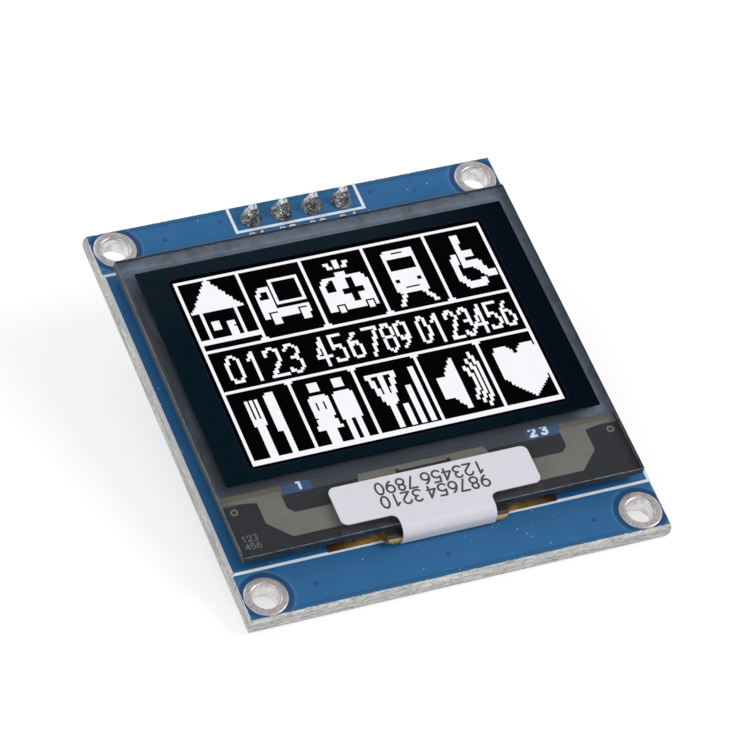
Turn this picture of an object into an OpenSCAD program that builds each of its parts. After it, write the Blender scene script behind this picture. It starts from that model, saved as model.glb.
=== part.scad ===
// Small OLED display module: a blue circuit board that carries a bare glass display panel.
// The panel lies on foam tape. A flex cable folds round the panel's front edge, goes back under
// it and is soldered to the board. A four-pin header hangs under the back edge.
//
// Frame: origin at the centre of the four mounting holes, on the board's back face.
// +X runs along the pin row, +Y towards the pin header, +Z out of the lit face. Millimetres.

/* [Board] */
// Width of the board, along the pin row
board_w = 34.2; // [33.6:0.1:45]
// Depth of the board, from the flex side to the header side
board_d = 37.1; // [36.4:0.1:50]
// Thickness of the board
board_t = 1.6; // [1:0.1:2.4]
// Depth of the V-score left along each edge, on both faces
score_depth = 0.45; // [0.1:0.05:0.6]
// Width of the V-score left along each edge
score_run = 0.12; // [0.05:0.01:0.15]

/* [Mounting holes] */
// Distance from the side edge to a hole's centre
hole_inset_x = 1.9; // [1.85:0.05:2]
// Distance from the front or back edge to a hole's centre
hole_inset_y = 1.85; // [1.85:0.05:2]
// Bore of a mounting hole, inside its plating
hole_d = 2.1; // [1.6:0.1:2.4]
// Diameter of the tinned ring round a hole
ring_d = 3.4; // [2.9:0.05:3.4]
// Height of the tinned ring above the board
ring_t = 0.06; // [0.03:0.01:0.1]
// Wall of the plated barrel
barrel_t = 0.05; // [0.03:0.01:0.1]

/* [Pin header] */
// Pitch of the pins
pin_pitch = 2.54; // [2:0.01:2.54]
// Width of a square pin
pin_w = 0.64; // [0.5:0.02:0.68]
// Distance from the back edge to the pin row
pin_inset = 1.5; // [1.3:0.1:2]
// Height of a pin's short end above the board
pin_short = 1.7; // [1.3:0.1:3]
// Length of a pin below the spacer
pin_long = 6; // [3:0.5:12]
// Length of the chamfer at a pin's ends
pin_tip = 0.35; // [0.1:0.05:0.6]
// Height of the plastic spacer
spacer_h = 2.54; // [2:0.02:3.5]
// Depth of the plastic spacer, front to back
spacer_d = 2.5; // [1.8:0.1:2.5]
// Chamfer between two spacer units
spacer_notch = 0.5; // [0.2:0.05:0.7]
// Drilled hole for a pin
drill_d = 1.02; // [0.98:0.02:1.2]
// Diameter of the solder land round a pin
land_d = 1.75; // [1.5:0.05:1.9]
// Height of the solder cone on a pin
solder_h = 0.95; // [0.5:0.05:1.1]
// Height of the solder cone's rim
solder_rim = 0.08; // [0.04:0.01:0.15]
// Thickness of the solder at the cone's top, over a pin's corners
solder_lip = 0.05; // [0.03:0.01:0.1]

/* [Display glass] */
// Distance from the board's side edge to the front glass
glass_side = 0.8; // [0.6:0.1:1.4]
// Distance from the board's front or back edge to the front glass, with the panel centred
glass_margin = 4.25; // [4:0.05:4.7]
// Panel centre, from the board's centre towards the header
glass_shift = 0.1; // [-0.4:0.1:0.4]
// Thickness of the front glass
substrate_t = 0.7; // [0.5:0.05:1.1]
// Thickness of the cap glass
cap_t = 0.6; // [0.5:0.05:1]
// Distance from the front glass's edge to the cap glass's edge
cap_inset = 0.3; // [0.1:0.05:0.6]
// Depth of the pocket in the cap glass
pocket_depth = 0.3; // [0.2:0.05:0.35]
// Thickness of the seal between the two glasses
seal_t = 0.1; // [0.06:0.01:0.2]
// Width of the seal line
seal_w = 1.2; // [0.8:0.1:1.4]
// Thickness of the drying sheet in the cap's pocket
getter_t = 0.15; // [0.05:0.01:0.18]
// Gap round the drying sheet
getter_gap = 2.5; // [1:0.5:5]
// Distance from the front glass's side edge to the polariser
polariser_side = 1.05; // [0.8:0.05:1.4]
// Distance from the front glass's front edge to the polariser
polariser_front = 6.4; // [5.9:0.1:6.8]
// Thickness of the polariser
polariser_t = 0.2; // [0.1:0.05:0.4]
// Distance from the front glass's back edge to the polariser
polariser_inset = 1.7; // [1.2:0.1:2]
// Distance from the polariser's side edge to the black pixel area, with the area centred
pixels_side = 2; // [1.8:0.1:2.7]
// Distance from the polariser's front or back edge to the black pixel area, with the area centred
pixels_margin = 0.75; // [0.55:0.05:1.2]
// Pixel area's centre, to the right of the glass's centre
pixels_shift = 0.35; // [-0.4:0.05:0.4]
// Pixel area's centre, behind the polariser's centre
pixels_back = 0.25; // [-0.25:0.05:0.3]
// Thickness of the pixel layers
pixels_t = 0.05; // [0.02:0.01:0.08]
// Corner radius of the pixel area
pixels_r = 0.5; // [0.2:0.1:1]

/* [Ledge] */
// Depth of the ledge in front of the cap glass
ledge_d = 5.3; // [5.1:0.1:5.6]
// Thickness of the metal tracks on the ledge
track_t = 0.03; // [0.01:0.01:0.05]
// Inner side of a side track bundle, from the middle
bundle_x = 11.4; // [10.5:0.1:12]
// Width of a side track bundle
bundle_w = 2; // [1.5:0.1:2.4]
// Distance from the front edge to a side track bundle
bundle_inset = 1.25; // [1:0.05:1.3]
// Corner cut on the outside of a bundle's bend
bundle_cut = 1.6; // [0.8:0.1:1.9]
// Half width of the middle track fan
fan_w = 5.8; // [4.5:0.1:7]
// Thickness of the black tape behind the ledge
tape_t = 0.05; // [0.03:0.01:0.1]
// Strip of clear glass between the tape and the cap glass
clear_strip = 0.35; // [0.2:0.05:0.6]
// Length of the driver chip
driver_l = 11; // [8:0.5:14]
// Width of the driver chip
driver_w = 1.2; // [0.8:0.1:1.3]
// Thickness of the driver chip
driver_t = 0.3; // [0.2:0.05:0.4]

/* [Flex cable] */
// Thickness of the flex cable
flex_t = 0.1; // [0.06:0.01:0.15]
// Width of the flex where it is bonded to the ledge
head_w = 16; // [14.4:0.1:16.4]
// Depth of the bonded strip
head_d = 1.5; // [1:0.1:1.6]
// Width of the neck at the glass edge
neck_w = 10.2; // [9.6:0.1:11]
// Radius of the neck's shoulders
neck_r = 0.9; // [0.5:0.05:1]
// Width of the part on the board
tail_w = 18.6; // [14:0.1:20]
// Depth of the part on the board, behind the glass edge
tail_d = 8; // [6:0.5:12]
// Distance from the glass edge back to the tail's front edge
tail_inset = 0.2; // [0.1:0.05:0.4]
// Number of soldered fingers
finger_count = 14; // [8:1:16]
// Pitch of the soldered fingers
finger_pitch = 1.2; // [1:0.05:1.25]
// Width of a soldered finger
finger_w = 0.7; // [0.4:0.05:0.8]
// Length of a soldered finger
finger_l = 1.6; // [1:0.1:2.5]
// Height of the solder on a finger, above the flex
finger_h = 0.06; // [0.02:0.01:0.08]

/* [Foam tape] */
// Thickness of the foam tape between the board and the panel
foam_t = 0.3; // [0.25:0.05:0.6]
// Gap from a foam strip to the flex and to the cap's edge
foam_gap = 0.5; // [0.2:0.1:1]

/* [Label] */
// Width of the paper label
label_w = 16.2; // [12:0.1:18]
// Depth of the label's straight part
label_d = 3.45; // [2:0.05:3.6]
// Corner radius of the label
label_r = 0.55; // [0.2:0.05:0.8]
// Thickness of the label
label_t = 0.08; // [0.05:0.01:0.15]
// Distance from the front edge to the label's straight part
label_inset = 0.85; // [0.7:0.05:1.4]
// Width of the tongue that goes over the edge
tongue_w = 7.6; // [6:0.1:8]
// How far the tongue bulges out in front of the glass
tongue_bulge = 0.8; // [0.75:0.05:0.85]
// Angle of the flex's fold that the tongue covers below its middle
tongue_wrap = 40; // [20:5:60]

/* [Parts on the back] */
// Length of a chip resistor or capacitor
chip_l = 1.6; // [1:0.1:2]
// Width of a chip resistor or capacitor
chip_w = 0.8; // [0.5:0.1:1]
// Height of a chip capacitor
capacitor_h = 0.8; // [0.5:0.05:0.9]
// Height of a chip resistor
resistor_h = 0.45; // [0.3:0.05:0.6]
// Length of the metal end on a chip part
chip_end = 0.3; // [0.2:0.05:0.4]
// Height of the solder against a chip part or lead
fillet_h = 0.25; // [0.1:0.05:0.28]
// Length of the solder foot beyond a chip part or lead
fillet_l = 0.3; // [0.2:0.05:0.4]
// Length of a three- or six-lead body
sot_l = 2.9; // [2.7:0.1:3.1]
// Width of a three- or six-lead body
sot_w = 1.5; // [1.2:0.1:1.7]
// Height of a three- or six-lead body
sot_h = 1; // [0.8:0.05:1.3]
// Distance over the leads
sot_span = 2.8; // [2.6:0.1:3]
// Pitch of the leads
sot_pitch = 0.95; // [0.8:0.05:1]
// Width of a lead
lead_w = 0.4; // [0.3:0.05:0.45]
// Thickness of a lead
lead_t = 0.13; // [0.1:0.01:0.2]
// Side of the square coil
coil_w = 3; // [2.5:0.1:4]
// Height of the coil
coil_h = 1.5; // [1:0.1:2]
// Length of the diode's body
diode_l = 1.7; // [1.5:0.1:1.9]
// Width of the diode's body
diode_w = 1.25; // [1:0.05:1.5]
// Distance over the diode's leads
diode_span = 2.5; // [2.3:0.1:2.8]
// Height of the diode's body
diode_h = 0.9; // [0.7:0.05:1.1]
// Slope of moulded sides, in degrees
mould_draft = 7; // [3:1:10]

/* [Hidden] */
$fn = 64;

// Every solid that is cut from another reaches this far past it.
past = 1;

// Board and holes
hole_x = board_w / 2 - hole_inset_x;
hole_y = board_d / 2 - hole_inset_y;
score = min(score_depth, board_t / 3);

// Header
pin_count = 4;
pin_y = board_d / 2 - pin_inset;
pin_slim = pin_w / 2;
pin_bottom = -spacer_h - pin_long;
function pin_x(i) = (i - (pin_count + 1) / 2) * pin_pitch;

// Heights of the panel's layers
cap_z = board_t + foam_t;
seal_z = cap_z + cap_t;
rear_z = seal_z + seal_t;
front_z = rear_z + substrate_t;
track_z = rear_z - track_t;

// Plan of the panel
glass_w = board_w - 2 * glass_side;
glass_d = board_d - 2 * glass_margin;
glass_front = glass_shift - glass_d / 2;
glass_back = glass_shift + glass_d / 2;
cap_front = glass_front + ledge_d;
cap_back = glass_back - cap_inset;
cap_w = glass_w - 2 * cap_inset;
cap_d = cap_back - cap_front;
pocket_w = cap_w - 2 * seal_w;
pocket_d = cap_d - 2 * seal_w;
cap_y = (cap_front + cap_back) / 2;
polariser_w = glass_w - 2 * polariser_side;
polariser_d = glass_d - polariser_inset - polariser_front;
polariser_y = glass_back - polariser_inset - polariser_d / 2;
pixels_w = polariser_w - 2 * pixels_side;
pixels_d = polariser_d - 2 * pixels_margin;
pixels_y = polariser_y + pixels_back;

// Ledge
tape_back = cap_front - clear_strip;
tape_side = 0.15;
window_gap = 0.2;
head_front = glass_front + window_gap;
driver_gap = 0.25;
driver_front = head_front + head_d + driver_gap;
window_back = driver_front + driver_w + driver_gap;
bundle_front = glass_front + bundle_inset;
track_overlap = 0.6;
bundle_end = driver_l / 2 - track_overlap;
mark_r = 0.3;
mark_hole_r = 0.15;
mark_inset = 0.95;

// Flex and label, seen from the side
fold_r = (track_z - board_t) / 2;
fold_z = board_t + fold_r;
fold_y = glass_front - tongue_bulge + fold_r;
tail_front = glass_front + tail_inset;
tail_back = glass_front + tail_d;
neck_slim = neck_w / 2 - neck_r;
bulge_z = front_z - tongue_bulge;

// Foam strips
foam_in = tail_w / 2 + foam_gap;
foam_out = cap_w / 2 - foam_gap;

// Places of the parts on the back: x, y, turn
edge_part_x = board_w / 2 - 4.5;
regulator_at = [8.6, 4.5, 0];
converter_at = [-4.6, 4.5, 0];
coil_at = [-10.4, 4.5, 90];
diode_at = [-10.4, -0.6, 0];
capacitor_at = [
    [edge_part_x, 4.5, 90], [4.6, 4.5, 90], [-0.8, 4.5, 90],
    [-5.8, -0.6, 0], [1.4, -0.6, 0], [8.6, -0.6, 0]
];
resistor_at = [
    [-8.6, 10.6, 90], [-5.8, 10.6, 90], [5.8, 10.6, 90], [8.6, 10.6, 90],
    [-2.2, -0.6, 90], [4.8, -0.6, 90]
];

// Details of the parts on the back
chip_lip = 0.02;
coil_plate = 0.1;
coil_wrap = 0.8;
lead_foot = 0.35;
lead_gap = 0.03;
sot_gap = 0.06;
three_leads = [[1, [0]], [-1, [-1, 1]]];
six_leads = [[1, [-1, 0, 1]], [-1, [-1, 0, 1]]];

// A square hole or block along Z, centred on a pin.
module pin_block(x, bottom, height) {
    translate([x - pin_slim, pin_y - pin_slim, bottom]) cube([pin_w, pin_w, height]);
}

// A flat plate centred in plan, with its underside at z.
module plate(w, d, t, x = 0, y = 0, z = 0) {
    translate([x - w / 2, y - d / 2, z]) cube([w, d, t]);
}

// A flat outline with four round corners, centred.
module round_outline(w, d, r) {
    square([w - 2 * r, d], center = true);
    square([w, d - 2 * r], center = true);
    for (x = [-1, 1], y = [-1, 1]) translate([x * (w / 2 - r), y * (d / 2 - r)]) circle(r);
}

// Repeats its children at the four mounting holes.
module at_hole(x, y) {
    translate([x * hole_x, y * hole_y, 0]) children();
}

// Carries its children's outline, drawn as (y, z), along X over a width centred on the middle.
module along_x(w) {
    translate([-w / 2, 0, 0]) rotate([90, 0, 90]) linear_extrude(w) children();
}

// Sets its children, built upwards, on the board's back face at [x, y, turn].
module on_back(at) {
    translate([at[0], at[1], 0]) rotate([180, 0, at[2]]) children();
}

// Section of a board that was snapped out of a V-scored sheet.
module scored_section(w) {
    flat = w / 2 - score_run;
    upper = board_t - score;
    polygon([
        [-flat, 0], [flat, 0], [w / 2, score], [w / 2, upper],
        [flat, board_t], [-flat, board_t], [-w / 2, upper], [-w / 2, score]
    ]);
}

module circuit_board() {
    color("steelblue") difference() {
        intersection() {
            along_x(board_w) scored_section(board_d);
            rotate([0, 0, 90]) along_x(board_d) scored_section(board_w);
        }
        for (x = [-1, 1], y = [-1, 1]) at_hole(x, y) translate([0, 0, -past])
            cylinder(d = hole_d + 2 * barrel_t, h = board_t + 2 * past);
        for (i = [1:pin_count])
            translate([pin_x(i), pin_y, -past]) cylinder(d = drill_d, h = board_t + 2 * past);
    }
}

// Tinned ring on both faces, joined by the plated barrel.
module hole_ring(x, y) {
    color("silver") at_hole(x, y) difference() {
        union() {
            translate([0, 0, -ring_t]) cylinder(d = hole_d + 2 * barrel_t, h = board_t + 2 * ring_t);
            for (z = [-ring_t, board_t]) translate([0, 0, z]) cylinder(d = ring_d, h = ring_t);
        }
        translate([0, 0, -past]) cylinder(d = hole_d, h = board_t + 2 * past);
    }
}

// Breakaway strip: one chamfered block for each pin.
module header_spacer() {
    color("#17181a") difference() {
        for (i = [1:pin_count]) translate([pin_x(i), pin_y, -spacer_h]) spacer_unit();
        for (i = [1:pin_count]) pin_block(pin_x(i), -spacer_h - past, spacer_h + 2 * past);
    }
}

module spacer_unit() {
    w = pin_pitch / 2;
    d = spacer_d / 2;
    n = spacer_notch;
    linear_extrude(spacer_h) polygon([
        [-w, -d + n], [-w + n, -d], [w - n, -d], [w, -d + n],
        [w, d - n], [w - n, d], [-w + n, d], [-w, d - n]
    ]);
}

// Side view of a pin: square in section, narrowed at both ends.
module pin_profile() {
    tip = pin_slim / 2;
    top = board_t + pin_short;
    polygon([
        [-tip, pin_bottom], [tip, pin_bottom], [pin_slim, pin_bottom + pin_tip], [pin_slim, top - pin_tip],
        [tip, top], [-tip, top], [-pin_slim, top - pin_tip], [-pin_slim, pin_bottom + pin_tip]
    ]);
}

module header_pin(i) {
    color("gold") translate([pin_x(i), pin_y, 0]) intersection() {
        along_x(pin_w) pin_profile();
        rotate([0, 0, 90]) along_x(pin_w) pin_profile();
    }
}

// Hollow-sided cone on the land, with the solder that fills the drilled hole.
module pin_solder(i) {
    steps = 8;
    land_r = land_d / 2;
    neck = pin_slim * sqrt(2) + solder_lip;
    rise = solder_h - solder_rim;
    side = [for (k = [0:steps]) let (a = 90 * k / steps)
        [land_r - (land_r - neck) * sin(a), solder_rim + rise * (1 - cos(a))]];
    color("silver") difference() {
        union() {
            translate([pin_x(i), pin_y, board_t])
                rotate_extrude() polygon(concat([[0, 0], [land_r, 0]], side, [[0, solder_h]]));
            translate([pin_x(i), pin_y, 0]) cylinder(d = drill_d, h = board_t);
        }
        pin_block(pin_x(i), -past, board_t + pin_short + past);
    }
}

module front_glass() {
    color("#3b4354") plate(glass_w, glass_d, substrate_t, y = glass_shift, z = rear_z);
}

// The cap glass is hollowed towards the pixels.
module cap_glass() {
    color("#4a5566") difference() {
        plate(cap_w, cap_d, cap_t, y = cap_y, z = cap_z);
        plate(pocket_w, pocket_d, cap_t, y = cap_y, z = seal_z - pocket_depth);
    }
}

module glass_seal() {
    color("#2c3440") difference() {
        plate(cap_w, cap_d, seal_t, y = cap_y, z = seal_z);
        plate(pocket_w, pocket_d, seal_t + 2 * past, y = cap_y, z = seal_z - past);
    }
}

module pixel_layers() {
    color("#050607") translate([pixels_shift, pixels_y, rear_z - pixels_t])
        linear_extrude(pixels_t) round_outline(pixels_w, pixels_d, pixels_r);
}

module drying_sheet() {
    color("#c9c6bd") plate(
        pocket_w - 2 * getter_gap, pocket_d - 2 * getter_gap, getter_t,
        y = cap_y, z = seal_z - pocket_depth);
}

module polariser() {
    color("#03161d") plate(polariser_w, polariser_d, polariser_t, y = polariser_y, z = front_z);
}

// One side bundle: out from under the chip, round a cut corner and back to the cap glass, with a
// thin run that fans out along the cap's edge.
module track_bundle() {
    inner_cut = 0.5;
    edge_gap = 0.1;
    edge_run = 0.55;
    run_top = bundle_front + bundle_w;
    out_x = bundle_x + bundle_w;
    side_x = cap_w / 2 - edge_gap;
    polygon([
        [bundle_x, cap_front], [bundle_x, run_top + inner_cut], [bundle_x - inner_cut, run_top],
        [bundle_end, run_top], [bundle_end, bundle_front], [out_x - bundle_cut, bundle_front],
        [out_x, bundle_front + bundle_cut], [out_x, cap_front - edge_run],
        [side_x, cap_front - edge_gap], [side_x, cap_front]
    ]);
}

// The middle fan widens towards the front and has a notch between two small square marks.
module track_fan() {
    slant = 0.7;
    notch_w = 2.1;
    notch_y = cap_front - 0.45;
    square_mark = 0.3;
    difference() {
        polygon([
            [-fan_w + slant, cap_front], [fan_w - slant, cap_front],
            [fan_w, window_back], [-fan_w, window_back]
        ]);
        translate([-notch_w, window_back - past]) square([2 * notch_w, notch_y - window_back + past]);
        for (x = [-1, 1]) translate([x * notch_w - square_mark / 2, notch_y - past])
            square([square_mark, square_mark / 2 + past]);
    }
}

module ledge_tracks() {
    color("#736b63") translate([0, 0, track_z]) linear_extrude(track_t) {
        for (side = [0, 1]) mirror([side, 0]) {
            track_bundle();
            translate([glass_w / 2 - mark_inset, cap_front - mark_inset]) difference() {
                circle(mark_r);
                circle(mark_hole_r);
            }
        }
        track_fan();
    }
}

module ledge_tape() {
    color("#26252c") difference() {
        translate([-glass_w / 2 + tape_side, glass_front + tape_side, track_z - tape_t])
            cube([glass_w - 2 * tape_side, tape_back - glass_front - tape_side, tape_t]);
        translate([-head_w / 2 - window_gap, glass_front - past, track_z - tape_t - past])
            cube([head_w + 2 * window_gap, window_back - glass_front + past, tape_t + 2 * past]);
    }
}

module driver_chip() {
    color("#5c6068")
        plate(driver_l, driver_w, driver_t, y = driver_front + driver_w / 2, z = track_z - driver_t);
}

// The strip seen from the side: under the ledge, round the fold and back along the board.
module flex_side() {
    head_back = head_front + head_d;
    translate([fold_y, track_z - flex_t]) square([head_back - fold_y, flex_t]);
    translate([fold_y, board_t]) square([tail_back - fold_y, flex_t]);
    intersection() {
        translate([fold_y, fold_z]) difference() {
            circle(fold_r);
            circle(fold_r - flex_t);
        }
        translate([fold_y - 2 * fold_r, board_t - past]) square([2 * fold_r, 2 * fold_r + 2 * past]);
    }
}

// The strip seen from above: the neck with its two hollow shoulders, and a T-shaped end.
module flex_plan(end_w, end_front) {
    tip = fold_y - fold_r - past;
    translate([-end_w / 2, end_front]) square([end_w, tail_back - end_front + past]);
    difference() {
        translate([-neck_w / 2, tip]) square([neck_w, end_front - tip + past]);
        for (side = [-1, 1]) {
            translate([side * (neck_slim + neck_r), end_front - neck_r]) circle(neck_r);
            translate([side * (neck_slim + past + neck_r), (tip + end_front - neck_r - past) / 2])
                square([2 * neck_r + 2 * past, end_front - neck_r - tip + past], center = true);
        }
    }
}

module flex_cable() {
    color("#8c6524") intersection() {
        along_x(tail_w + past) flex_side();
        union() {
            translate([0, 0, board_t - past]) linear_extrude(fold_r + past) flex_plan(tail_w, tail_front);
            translate([0, 0, fold_z]) linear_extrude(fold_r + past) flex_plan(head_w, head_front);
        }
    }
}

// Solder runs down from each finger on the flex to its pad on the board.
module flex_solder() {
    half = finger_l / 2;
    slope = 0.1;
    middle = (finger_count + 1) / 2;
    color("silver") for (i = [1:finger_count]) translate([(i - middle) * finger_pitch, tail_back, board_t])
        along_x(finger_w) polygon([
            [-half, flex_t], [0, flex_t], [0, 0], [half, 0],
            [slope, flex_t + finger_h], [slope - half, flex_t + finger_h]
        ]);
}

module foam_strip(side) {
    color("#e8e6df") translate([side > 0 ? foam_in : -foam_out, cap_front + foam_gap, board_t])
        cube([foam_out - foam_in, cap_d - 2 * foam_gap, foam_t]);
}

// The tongue seen from the side: round the glass edge, straight down and on round the flex's fold.
module tongue_side() {
    flat_back = glass_front + label_inset + label_r;
    reach = fold_r + 2 * past;
    translate([glass_front, front_z]) square([flat_back - glass_front, label_t]);
    intersection() {
        translate([glass_front, bulge_z]) difference() {
            circle(tongue_bulge + label_t);
            circle(tongue_bulge);
        }
        translate([glass_front - 2 * tongue_bulge, bulge_z]) square(2 * tongue_bulge);
    }
    translate([glass_front - tongue_bulge - label_t, fold_z]) square([label_t, bulge_z - fold_z]);
    intersection() {
        translate([fold_y, fold_z]) difference() {
            circle(fold_r + label_t);
            circle(fold_r);
        }
        translate([fold_y, fold_z])
            polygon([[0, 0], [-reach, 0], [-reach, -reach * tan(tongue_wrap)]]);
    }
}

// Hollow corner between the label's straight part and its tongue.
module tongue_corner() {
    linear_extrude(label_t) difference() {
        translate([0, -label_r]) square(label_r);
        translate([label_r, -label_r]) circle(label_r);
    }
}

module label() {
    color("#d6d4dd") {
        translate([0, glass_front + label_inset + label_d / 2, front_z])
            linear_extrude(label_t) round_outline(label_w, label_d, label_r);
        along_x(tongue_w) tongue_side();
        for (side = [0, 1]) mirror([side, 0, 0])
            translate([tongue_w / 2, glass_front + label_inset, front_z]) tongue_corner();
    }
}

// Moulded body with sloped sides, on the height that its leads give it.
module moulded(l, w, h) {
    slope = (h - sot_gap) / 2 * tan(mould_draft);
    middle = sot_gap + (h - sot_gap) / 2;
    intersection() {
        rotate([90, 0, 0]) linear_extrude(w, center = true) polygon([
            [-l / 2 + slope, sot_gap], [l / 2 - slope, sot_gap], [l / 2, middle],
            [l / 2 - slope, h], [-l / 2 + slope, h], [-l / 2, middle]
        ]);
        along_x(l) polygon([
            [-w / 2 + slope, sot_gap], [w / 2 - slope, sot_gap], [w / 2, middle],
            [w / 2 - slope, h], [-w / 2 + slope, h], [-w / 2, middle]
        ]);
    }
}

// Gull-wing lead from a body's side at x = 0, out to a foot on the board; its upper face is at z.
module gull_lead(out, z) {
    bend = max(out - lead_foot, lead_t + lead_gap);
    translate([0, lead_w / 2, 0]) rotate([90, 0, 0]) linear_extrude(lead_w) polygon([
        [0, z], [bend, z], [bend, lead_t], [out, lead_t], [out, 0],
        [bend - lead_t, 0], [bend - lead_t, z - lead_t], [0, z - lead_t]
    ]);
}

// Leads of a three- or six-lead part: sides is a list of [side, places along the body].
module sot_leads(sides) {
    for (s = sides, k = s[1])
        rotate([0, 0, 90 * s[0]]) translate([sot_w / 2, -s[0] * k * sot_pitch, 0])
            gull_lead((sot_span - sot_w) / 2, sot_gap + (sot_h - sot_gap) / 2 + lead_t / 2);
}

module regulator_body() { color("#1b1c1e") on_back(regulator_at) moulded(sot_l, sot_w, sot_h); }
module regulator_leads() { color("silver") on_back(regulator_at) sot_leads(three_leads); }
module converter_body() { color("#1b1c1e") on_back(converter_at) moulded(sot_l, sot_w, sot_h); }
module converter_leads() { color("silver") on_back(converter_at) sot_leads(six_leads); }

// Square shielded coil: a ferrite block with cut corners, on two terminals that wrap its ends.
module coil_core() {
    half = coil_w / 2;
    flat = half - coil_w / 8;
    color("#3a3a3c") on_back(coil_at) translate([0, 0, coil_plate]) linear_extrude(coil_h - coil_plate)
        polygon([
            [-half, -flat], [-flat, -half], [flat, -half], [half, -flat],
            [half, flat], [flat, half], [-flat, half], [-half, flat]
        ]);
}

module coil_terminals() {
    color("silver") on_back(coil_at) for (turn = [0, 180]) rotate([0, 0, turn]) {
        translate([coil_w / 2 - coil_wrap, -coil_w / 4, 0])
            cube([coil_wrap + coil_plate, coil_w / 2, coil_plate]);
        translate([coil_w / 2, -coil_w / 4, 0]) cube([coil_plate, coil_w / 2, coil_h / 2]);
    }
}

module diode_body() { color("#1b1c1e") on_back(diode_at) moulded(diode_l, diode_w, diode_h); }

module diode_leads() {
    color("silver") on_back(diode_at) for (turn = [0, 180]) rotate([0, 0, turn])
        translate([diode_l / 2, 0, 0])
            gull_lead((diode_span - diode_l) / 2, sot_gap + (diode_h - sot_gap) / 2 + lead_t / 2);
}

// Chip part: a block with a slightly thicker metal end on each side.
module chip_part(h) {
    translate([-chip_l / 2 + chip_lip, -chip_w / 2 + chip_lip, chip_lip])
        cube([chip_l - 2 * chip_lip, chip_w - 2 * chip_lip, h - 2 * chip_lip]);
    for (turn = [0, 180]) rotate([0, 0, turn])
        translate([chip_l / 2 - chip_end, -chip_w / 2, 0]) cube([chip_end, chip_w, h]);
}

module capacitor(i) { color("#b79468") on_back(capacitor_at[i - 1]) chip_part(capacitor_h); }
module resistor(i) { color("#202124") on_back(resistor_at[i - 1]) chip_part(resistor_h); }

// Solder foot against an upright face at x = 0, running out along +X.
module solder_foot(w, h, l) {
    translate([0, w / 2, 0]) rotate([90, 0, 0]) linear_extrude(w)
        polygon([[0, 0], [l, 0], [l / 3, h / 3], [0, h]]);
}

module part_solder() {
    color("silver") {
        for (at = concat(capacitor_at, resistor_at), turn = [0, 180]) on_back(at)
            rotate([0, 0, turn]) translate([chip_l / 2, 0, 0]) solder_foot(chip_w, fillet_h, fillet_l);
        for (part = [[regulator_at, three_leads], [converter_at, six_leads]], s = part[1], k = s[1])
            on_back(part[0]) rotate([0, 0, 90 * s[0]]) translate([sot_span / 2, -s[0] * k * sot_pitch, 0])
                solder_foot(lead_w, lead_t, fillet_l);
        for (turn = [0, 180]) {
            on_back(diode_at) rotate([0, 0, turn]) translate([diode_span / 2, 0, 0])
                solder_foot(lead_w, lead_t, fillet_l);
            on_back(coil_at) rotate([0, 0, turn]) translate([coil_w / 2 + coil_plate, 0, 0])
                solder_foot(coil_w / 2, 2 * fillet_h, fillet_l);
        }
    }
}

circuit_board();
hole_ring(-1, -1);  // hole_ring_front_left
hole_ring(1, -1);  // hole_ring_front_right
hole_ring(-1, 1);  // hole_ring_back_left
hole_ring(1, 1);  // hole_ring_back_right
header_spacer();
for (i = [1:pin_count]) {
    header_pin(i);
    pin_solder(i);
}
front_glass();
cap_glass();
glass_seal();
pixel_layers();
drying_sheet();
polariser();
ledge_tracks();
ledge_tape();
driver_chip();
flex_cable();
flex_solder();
foam_strip(-1);  // foam_strip_left
foam_strip(1);  // foam_strip_right
label();
regulator_body();
regulator_leads();
converter_body();
converter_leads();
coil_core();
coil_terminals();
diode_body();
diode_leads();
for (i = [1:len(capacitor_at)]) capacitor(i);
for (i = [1:len(resistor_at)]) resistor(i);
part_solder();
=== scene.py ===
"""Finishes and fine forms of a small OLED display module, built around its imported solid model.

Lengths are in millimetres until a form becomes a mesh, in the part's own frame: origin between the four
mounting holes on the board's back face, +X along the pin row, +Y to the pin header, +Z out of the lit face.
"""
from __future__ import annotations

import logging
import math
from dataclasses import dataclass, field
from enum import Enum
from typing import Sequence

import bmesh
import bpy
import numpy as np
from mathutils import Matrix, Vector


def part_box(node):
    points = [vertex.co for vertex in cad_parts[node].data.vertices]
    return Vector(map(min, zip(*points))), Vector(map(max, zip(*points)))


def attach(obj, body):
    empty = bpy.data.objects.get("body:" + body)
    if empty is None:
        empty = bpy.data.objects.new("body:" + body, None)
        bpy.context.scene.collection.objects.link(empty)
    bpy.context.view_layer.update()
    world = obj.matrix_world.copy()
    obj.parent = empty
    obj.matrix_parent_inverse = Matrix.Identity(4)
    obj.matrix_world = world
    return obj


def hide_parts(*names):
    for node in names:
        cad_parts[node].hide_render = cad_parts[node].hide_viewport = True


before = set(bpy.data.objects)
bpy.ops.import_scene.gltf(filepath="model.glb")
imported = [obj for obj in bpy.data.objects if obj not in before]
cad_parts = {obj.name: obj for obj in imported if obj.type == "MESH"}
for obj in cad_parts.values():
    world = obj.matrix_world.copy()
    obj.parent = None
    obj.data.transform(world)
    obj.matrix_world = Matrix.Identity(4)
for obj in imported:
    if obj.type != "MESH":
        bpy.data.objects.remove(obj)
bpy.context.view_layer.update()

MM = 0.001
DIGIT_HEIGHT = 1.6
PRINT_RISE, PRINT_SUNK, LINE_SUNK, CROSSING_STEP = 0.006, 0.004, 0.005, 0.0008
log = logging.getLogger("oled_module")
Array = np.ndarray


def span(node: str) -> tuple[Array, Array]:
    """Lowest and highest corner of a CAD node, in millimetres."""
    low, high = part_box(node)
    return np.array(low) / MM, np.array(high) / MM


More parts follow.
